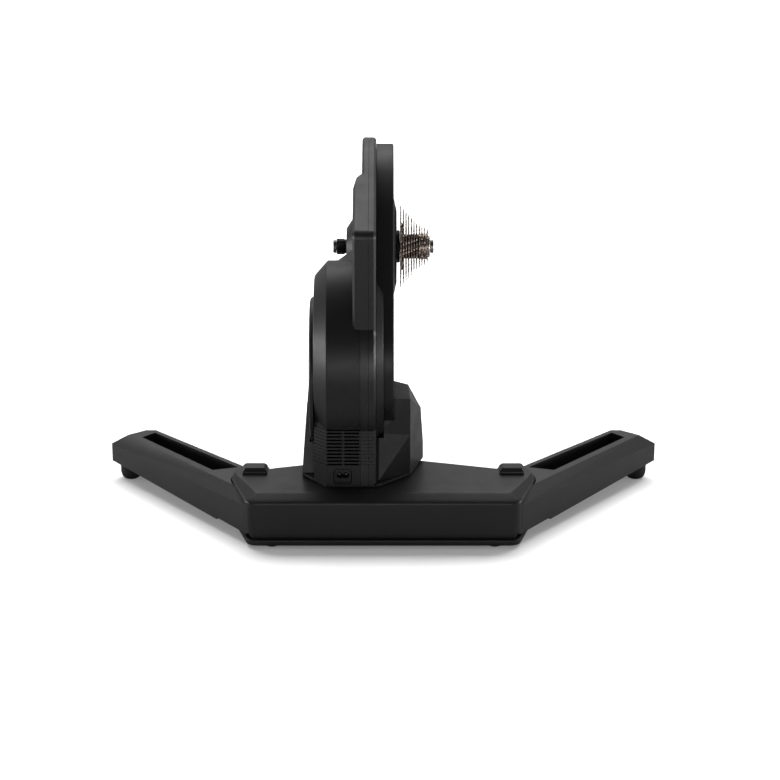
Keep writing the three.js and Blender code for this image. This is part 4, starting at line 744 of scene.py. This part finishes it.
vent = rod("vent", 30, end_x - 2, end_x + 8, "x", drum)
cut(drum_cover, *slots, inlet_hole, vent)
cut(drum_cover, *groove_cutters())
finish(drum_cover, "drum_cover", crease=25)

# %% Round cover on the drum's left end
disc_centre = (-79, 210)
disc_profile = [
    (-95.3, 0), (-95.3, 100.4), (-95.7, 101), (-98.1, 101), (-99.5, 100.3), (-100.7, 98.9), (-101.3, 97.2),
    (-101.3, 86), (-101.1, 85.2), (-99.6, 83.6), (-99.3, 82.8), (-99.3, 41.4), (-99.6, 40.4), (-100.7, 38.8),
    (-101, 37.8), (-101, 0)]
finish(turned("drum_end_cap", disc_profile, "x", disc_centre, 192), "drum_end_disc", crease=30)

# %% Power inlet
inlet = rounded_prism("power_inlet_block", inlet_outline, foot_rear, foot_rear + 18, 0.8, 0.3, "y")
recess = prism("recess", inset(inlet_outline, 2), behind_foot, foot_rear + 1.6, "y")
lobe_out, contact_out, socket_z = 3.75, 4.6, inlet_z + 1.5
lobes = [rod("lobe", 4.75, behind_foot, foot_rear + 13.6, "y", (inlet_x + side * lobe_out, socket_z), 40)
         for side in (-1, 1)]
cut(inlet, recess, *lobes)
finish(inlet, "power_inlet", crease=30)
contact_tip, contact_root = foot_rear + 6, foot_rear + 14
contact_profile = [(contact_tip, 0), (contact_tip, 0.7), (contact_tip + 0.6, 1.2), (contact_root, 1.2),
                   (contact_root, 0)]
contacts = [turned("contact", contact_profile, "y", (inlet_x + side * contact_out, socket_z), 24)
            for side in (-1, 1)]
finish(fuse(*contacts), "power_inlet", ground_steel)

# %% [markdown]
# ## The belt cover
#
# The cover over the belt drive is a thin shell in the form of a taut loop round two circles. A crescent
# fills the corner between its lower end and the frame, with a sloping rim that catches the light. A loop's
# outline moved inwards by different depths at different x gives both the cover's soft edge and, later, the
# ribs of the belt: each is one section taken round a loop.

# %% Loops round two circles
axle = (63, 340)  # its axis, as (y, z)
belt_side_left, belt_side_right = -9.7, 14.4
cover_foot_radius, cover_head_radius, cover_shell = 99.6, 145, 3
cover_loop = belt_loop(drum, cover_foot_radius, axle, cover_head_radius)


def carried(name, loop, section):
    """A section of (x, depth inwards) points taken round a loop: each point is one ring, and the last meets
    the first."""
    return stack(name, [level(inset(loop, depth), x) for x, depth in section], "x", loop=True)


def rear_lines(centre, radius, rows, depth, left, right):
    """Cutters for short level grooves where each row meets the rear of a round wall.

    On a circle the wall stands sqrt(radius^2 - height^2) behind the centre."""
    cutters = []
    for low in rows:
        heights = np.array([low + groove_margin, low + slot_height - groove_margin])
        wall = centre[0] - np.sqrt(radius ** 2 - (heights - centre[1]) ** 2)
        corners = [(wall[0] - 3, heights[0]), (wall[0] + depth, heights[0]),
                   (wall[1] + depth, heights[1]), (wall[1] - 3, heights[1])]
        cutters.append(prism("line", np.array(corners), left, right, "x"))
    return cutters


print("belt cover's loop:", len(cover_loop), "points")

# %% Belt cover
belt_cover = rounded_prism("belt_cover_shell", cover_loop, belt_side_left, belt_side_right, 0.3, 2.6, "x", 8)
belt_space = rounded_prism("space", inset(cover_loop, cover_shell), belt_side_left - 2,
                           belt_side_right - cover_shell, 0.1, 1.5, "x")
hub_hole = rod("hub_hole", 23, 5, 20, "x", axle, 128)
cut(belt_cover, belt_space, hub_hole)
cut(belt_cover, *rear_lines(drum, cover_foot_radius, slot_rows[8:], 0.9, belt_side_left - 1,
                            belt_side_right + 1))
finish(belt_cover, "belt_cover", crease=30)

# %% Crescent at its foot, and the cover over the hub
flange_profile = [(-9.7, 96.6), (-9.7, 120.3), (-9.3, 120.7), (-8.6, 120.1), (-0.9, 113.7), (-0.25, 112.9),
                  (0, 112), (0, 96.6)]
flange = turned("drum_flange_rim", flange_profile, "x", drum, 192)
cut(flange, prism("space", inset(cover_loop, -0.3), -12, 20, "x"))
cut(flange, *rear_lines(drum, 117, slot_rows[5:10], 0.4, belt_side_left - 1, 1))
finish(flange, "drum_flange", crease=24)
hub_profile = [(14.7, 23.4), (14.7, 67.3), (14.9, 67.7), (15.3, 66.6), (18.1, 53.8), (18.55, 52.2),
               (18.8, 50.6), (18.8, 42), (18.3, 41.4), (18.3, 39.6), (18.8, 39), (18.8, 24.2), (18.4, 23.4)]
finish(turned("hub_cover_ring", hub_profile, "x", axle, 160), "hub_cover", crease=24)

# %% [markdown]
# ## The axle
#
# The axle is a steel tube. Its two end caps are clear anodised and stand in the bicycle's dropouts, and the
# lobed nut beside the left cap clamps the axle by hand. The lobes are a wave in the radius, which the turned
# surface takes as a function of the angle.

# %% Axle, caps, nut and collar
def cap_profile(inner, outer):
    """A cap between its inner and outer ends, with a chamfered rim and a countersunk bore."""
    way = 1 if outer > inner else -1
    return [(inner, 6.1), (inner, 9), (inner + 0.4 * way, 9.4), (outer - 1.1 * way, 9.4),
            (outer - 0.4 * way, 9), (outer, 8.4), (outer, 7), (outer - 0.9 * way, 6.1)]


def lobed(count, depth, above):
    """Radii above a limit lose depth * (a cosine wave from 0 to 1) ** 3: round lobes with narrow dips."""
    return lambda radius, turn: np.where(
        radius > above, radius - depth * (0.5 + 0.5 * np.cos(count * turn)) ** 3, radius)


finish(turned("axle_cap_left_turned", cap_profile(-66.4, -71), "x", axle, 96), "axle_cap_left")
finish(turned("axle_cap_right_turned", cap_profile(66.4, 71), "x", axle, 96), "axle_cap_right")
tube_profile = [(-66.1, 6.1), (-66.1, 7.7), (-65.8, 8), (65.8, 8), (66.1, 7.7), (66.1, 6.1)]
finish(turned("axle_tube_turned", tube_profile, "x", axle, 96), "axle_tube")
nut_profile = [(-66.1, 8.4), (-66.1, 9.6), (-65.6, 10.5), (-64.6, 11.1), (-63.6, 11.2), (-55.4, 11.2),
               (-55, 10.9), (-54.6, 9.9), (-54, 9.9), (-53.8, 10.2), (-52.8, 10.2), (-52.3, 9.7),
               (-52.3, 8.4)]
finish(turned("axle_nut_lobed", nut_profile, "x", axle, 160, lobed(8, 1.3, 10.3)), "axle_nut")
collar_profile = [(19.1, 8.4), (19.1, 22.5), (19.5, 23), (22.2, 23), (22.9, 22.3), (23.2, 21.4), (23.2, 8.4)]
finish(turned("ratchet_collar_knurled", collar_profile, "x", axle, 288, lobed(48, 0.4, 22.8)),
       "ratchet_collar")

# %% [markdown]
# ## The cassette
#
# Eleven sprockets stand on a splined body. A chain with a pitch of 12.7 mm lays its rollers in the gaps, so
# the rollers' centres lie on a circle of radius pitch / (2 sin(180 / teeth)), and each gap is an arc of the
# roller's radius. The teeth are thinner towards their tips, which is what makes the dotted lines at the rims
# of the sprockets. Black spacers part the large ones, and wider steel ones the small ones, so that these
# look solid down to the body.

# %% Sprocket teeth
chain_pitch, roller_radius, tooth_rise = 12.7, 3.9, 2.4
sprocket_half, sprocket_pitch, first_sprocket_x = 0.9, 3.74, 24.6
teeth_counts = [28, 25, 23, 21, 19, 17, 15, 14, 13, 12, 11]
bore_radius = 14.8
carrier_radius, arm_count = 23, 6
print("sprockets:", len(teeth_counts), "of", teeth_counts[-1], "to", teeth_counts[0], "teeth")


def tooth_points(teeth):
    """Angles and radii of one gap and the tooth after it: an arc, a flank, a flat tip and a flank."""
    pitch_radius = chain_pitch / (2 * math.sin(math.pi / teeth))
    swing = np.radians(np.linspace(-62, 62, 9))
    out, side = pitch_radius - roller_radius * np.cos(swing), roller_radius * np.sin(swing)
    centre = math.pi / teeth
    radii = pitch_radius + np.array([0.3, tooth_rise - 0.5, tooth_rise, tooth_rise, tooth_rise - 0.5, 0.3])
    half_widths = np.array([-2.05, -1.25, -0.8, 0.8, 1.25, 2.05])
    return (np.concatenate([np.arctan2(side, out), centre + half_widths / radii]),
            np.concatenate([np.hypot(out, side), radii]))


def sprocket_plate(name, teeth, place):
    """A toothed ring whose faces slope to the tips: its half thickness falls by 0.4 mm over the teeth."""
    angles, radii = tooth_points(teeth)
    turn = (angles[None, :] + np.arange(teeth)[:, None] * 2 * np.pi / teeth).ravel()
    radius = np.tile(radii, teeth)
    slope_start = radii.min() + 2.2
    thin = sprocket_half - 0.4 * np.clip((radius - slope_start) / (radii.max() - slope_start), 0, 1)
    x = first_sprocket_x + place * sprocket_pitch

    def ring_at(reach, half):
        """The teeth's angles at a radius for each point, half a thickness off the middle."""
        outline = np.stack([axle[0] + reach * np.cos(turn), axle[1] + reach * np.sin(turn)], -1)
        return level(outline, x + half)

    bore = np.full(len(turn), bore_radius)
    face = np.minimum(radius, slope_start)
    rings = [ring_at(bore, -sprocket_half), ring_at(face, -sprocket_half), ring_at(radius, -thin),
             ring_at(radius, thin), ring_at(face, sprocket_half), ring_at(bore, sprocket_half)]
    return stack(name, rings, "x", loop=True)


# %% Sprockets, their carrier and the spacers
for place, teeth in enumerate(teeth_counts):
    node = f"sprocket_{teeth}t"
    x = first_sprocket_x + place * sprocket_pitch
    plate = sprocket_plate(f"{node}_plate", teeth, place)
    root_radius = chain_pitch / (2 * math.sin(math.pi / teeth)) - roller_radius
    if root_radius > 34:  # the large ones have lightening holes between the carrier and the teeth
        rim_radius = root_radius - 3
        middle_radius, hole_radius = (rim_radius + carrier_radius) / 2, (rim_radius - carrier_radius) / 2
        centres = polar(axle, middle_radius, np.arange(6) * 60 + 8 * place)
        cut(plate, *[rod("hole", hole_radius, x - 3, x + 3, "x", centre, 32) for centre in centres])
    finish(plate, node, crease=20)
    if place < len(teeth_counts) - 1:
        left, right = x + sprocket_half + 0.05, x + sprocket_pitch - sprocket_half - 0.05
        reach, paint = (17.2, moulded_nylon) if place < 7 else (18.2, sprocket_steel)
        section = [(left, bore_radius), (left, reach - 0.3), (left + 0.3, reach), (right - 0.3, reach),
                   (right, reach - 0.3), (right, bore_radius)]
        finish(turned(f"{node}_spacer", section, "x", axle, 72), node, paint)
arm_turn = np.linspace(0, 2 * np.pi, 180, endpoint=False)
arm_reach = carrier_radius + 10.5 * (0.5 + 0.5 * np.cos(arm_count * arm_turn)) ** 2
arm_outline = axle + arm_reach[:, None] * np.stack([np.cos(arm_turn), np.sin(arm_turn)], -1)
carrier = prism("sprocket_carrier", arm_outline, first_sprocket_x + 1, first_sprocket_x + 2.7, "x")
cut(carrier, rod("bore", 17.4, 20, 30, "x", axle, 72))
finish(carrier, "sprocket_28t", sprocket_steel)

# %% Freehub body and lockring
hub_section = [(23.5, 8.4), (23.5, 14.2), (23.8, 14.5), (62.6, 14.5), (62.9, 14.2), (62.9, 12.4),
               (54.6, 12.4), (54.6, 8.4)]
finish(turned("freehub_splined", hub_section, "x", axle, 216, lobed(9, 1.2, 14.3)), "freehub_body")
ring_section = [(63.2, 10.9), (63.2, 15), (63.5, 15.5), (65.1, 15.5), (65.5, 15.1), (65.7, 14.4),
                (65.7, 12.4), (65.2, 11.9)]


def notched(radius, turn):
    """The inner wall goes in and out twelve times, with steep sides: a cosine scaled up and clipped."""
    half_depth = 0.55
    wave = np.clip(3 * np.cos(12 * turn), -1, 1)
    return np.where(radius < 12, radius - half_depth + half_depth * wave, radius)


finish(turned("lockring_notched", ring_section, "x", axle, 288, notched), "lockring", crease=30)

# %% [markdown]
# ## Inside the covers
#
# The drive is hidden while the covers are on, but a reader can take them off, so each piece has a form that
# works: ribbed pulleys, a ribbed belt, bearings with shields, and a heavy rimmed flywheel round a stator.

# %% Pulleys and belt
def ribbed(left, right, radius, depth, count=6):
    """A zigzag from rim to rim: radius at the crests, radius - depth in the grooves."""
    places = np.linspace(left, right, 2 * count + 1)
    return [(x, radius - depth * (i % 2)) for i, x in enumerate(places)]


pulley_left, pulley_right, flange_width = -4.8, 9.8, 1.5
rim_left, rim_right = pulley_left + flange_width, pulley_right - flange_width
hub, inside, flange = 21, 127, 135
pulley_section = [
    (-8.5, 14.4), (-8.5, hub - 0.4), (-8.1, hub), (0, hub), (0, inside), (pulley_left, inside),
    (pulley_left, flange - 0.4), (pulley_left + 0.4, flange), (rim_left, flange),
    *ribbed(rim_left, rim_right, 132, 1.2), (rim_right, flange), (pulley_right - 0.4, flange),
    (pulley_right, flange - 0.4), (pulley_right, inside), (5, inside), (5, hub), (18.4, hub),
    (18.8, hub - 0.4), (18.8, 14.4)]
drive_pulley = turned("drive_pulley_turned", pulley_section, "x", axle, 160)
window_centres = polar(axle, 76, np.arange(5) * 72)
cut(drive_pulley, *[rod("window", 30, -3, 8, "x", centre, 64) for centre in window_centres])
finish(drive_pulley, "drive_pulley", crease=30)
motor_section = [(pulley_left, 7.9), (pulley_left, 19.6), (pulley_left + 0.4, 20), (rim_left, 20),
                 *ribbed(rim_left, rim_right, 17, 1), (rim_right, 20), (pulley_right - 0.4, 20),
                 (pulley_right, 19.6), (pulley_right, 7.9)]
finish(turned("motor_pulley_turned", motor_section, "x", drum, 96), "motor_pulley", crease=30)
belt_loop_outer = belt_loop(drum, 20.5, axle, 135.5)
belt_section = [(-2.5, 2.9), (-2.5, 0.4), (-2.2, 0), (7.2, 0), (7.5, 0.4), (7.5, 2.9),
                *ribbed(7.2, -2.2, 3, 0.8)]
finish(carried("drive_belt_ribbed", belt_loop_outer, belt_section), "drive_belt", belt_rubber, crease=20)

# %% Bearings, pins, shafts and screws
def node_section(node):
    """A node's centre line, its reach from it, and its ends along x, in mm."""
    low, high = node_box(node)
    return (low[1:] + high[1:]) / 2, (high[2] - low[2]) / 2, low[0], high[0]


def bearing(node, inner):
    """Two races with a shield between them, set back by 0.6 mm at each end."""
    centre, reach, left, right = node_section(node)
    near, far = inner + 1.5, reach - 1.5
    section = [(left, inner), (left, near), (left + 0.6, near + 0.3), (left + 0.6, far - 0.3), (left, far),
               (left, reach - 0.3), (left + 0.3, reach), (right - 0.3, reach), (right, reach - 0.3),
               (right, far), (right - 0.6, far - 0.3), (right - 0.6, near + 0.3), (right, near),
               (right, inner)]
    finish(turned(f"{node}_shielded", section, "x", centre, 72), node, crease=25)


def pin(node, radius, axis="x"):
    """A plain pin with chamfered ends."""
    low, high = node_box(node)
    along = {"x": 0, "z": 2}[axis]
    centre = np.delete((low + high) / 2, along)
    left, right = low[along], high[along]
    section = [(left, 0), (left, radius - 0.6), (left + 0.6, radius), (right - 0.6, radius),
               (right, radius - 0.6), (right, 0)]
    finish(turned(f"{node}_turned", section, axis, centre, 64), node)


axle_bore, shaft_bore = 8.35, 7.85
for node in ("pulley_bearing_left", "pulley_bearing_right", "freehub_bearing"):
    bearing(node, axle_bore)
for node in ("shaft_bearing_left", "shaft_bearing_right"):
    bearing(node, shaft_bore)
pin("flywheel_shaft", 7.5)
pin("idler_pin", 4)
pin("leg_pin_left", 6, "z")
pin("leg_pin_right", 6, "z")
centre, reach, left, right = node_section("idler_pulley")
idler_section = [(left, 4.4), (left, reach - 0.4), (left + 0.4, reach), (right - 0.4, reach),
                 (right, reach - 0.4), (right, 4.4), (right - 1, 4.4), (right - 1, 5), (left + 1, 5),
                 (left + 1, 4.4)]
finish(turned("idler_pulley_turned", idler_section, "x", centre, 72), "idler_pulley", crease=30)
finish(soften(bench_copy("idler_arm", "idler_arm_plate"), 0.5, 2), "idler_arm")
for place in range(1, 5):
    node = f"base_screw_{place}"
    low, high = node_box(node)
    centre = (low[:2] + high[:2]) / 2
    section = [(low[2], 0), (low[2], 3.9), (low[2] + 0.5, 4.4), (low[2] + 2.5, 4.4), (low[2] + 2.6, 2),
               (high[2] - 1, 2), (high[2], 1.2), (high[2], 0)]
    screw = turned(f"{node}_socket_head", section, "z", centre, 48)
    cut(screw, rod("socket", 1.9, low[2] - 2, low[2] + 1.6, "z", centre, 6))
    finish(screw, node)

# %% Flywheel, stator and circuit board
flywheel_section = [
    (-84, 7.9), (-84, 24), (-82.6, 25), (-82.6, 84), (-84, 86), (-84, 106.8), (-82.8, 108), (-39.2, 108),
    (-38, 106.8), (-38, 87.2), (-39.2, 86), (-74, 86), (-76, 84), (-76, 26), (-74.6, 24), (-59, 24),
    (-58, 23), (-58, 7.9)]
flywheel = turned("flywheel_casting", flywheel_section, "x", drum, 160)
hole_centres = polar(drum, 54, np.arange(8) * 45)
cut(flywheel, *[rod("hole", 12, -90, -70, "x", centre, 40) for centre in hole_centres])
finish(flywheel, "flywheel", crease=30)
poles = 12
pole = np.radians([0, 4, 4, 6.5, 23.5, 26, 26, 30])
pole_radii = np.array([60, 60, 75, 80, 80, 75, 60, 60]) - 0.2
pole_turn = (pole[None, :] + np.arange(poles)[:, None] * 2 * math.pi / poles).ravel()
core_outline = np.stack([drum[0] + np.tile(pole_radii, poles) * np.cos(pole_turn),
                         drum[1] + np.tile(pole_radii, poles) * np.sin(pole_turn)], -1)
core = prism("stator_core", core_outline, -62, -37, "x")
cut(core, rod("bore", 48.2, -90, -20, "x", drum, 128))
finish(core, "brake_stator", ground_steel, crease=20)
swing = np.radians(np.linspace(0, 360, 24, endpoint=False))
coil_x, coil_radius = -49.6, 66
coil_section = np.stack([coil_x + 17.6 * np.cos(swing), coil_radius + 6 * np.sin(swing)], -1)


def coil_lobes(radius, turn):
    """The ring of coils swells over each of the twelve poles and draws in between them."""
    swell = np.abs(np.cos(poles / 2 * (turn - math.pi / poles)))
    return coil_radius + (radius - coil_radius) * (0.62 + 0.38 * swell)


finish(turned("stator_windings", coil_section, "x", drum, 240, coil_lobes), "brake_stator")
finish(soften(bench_copy("circuit_board", "circuit_board_plate"), 0.25, 2), "circuit_board")
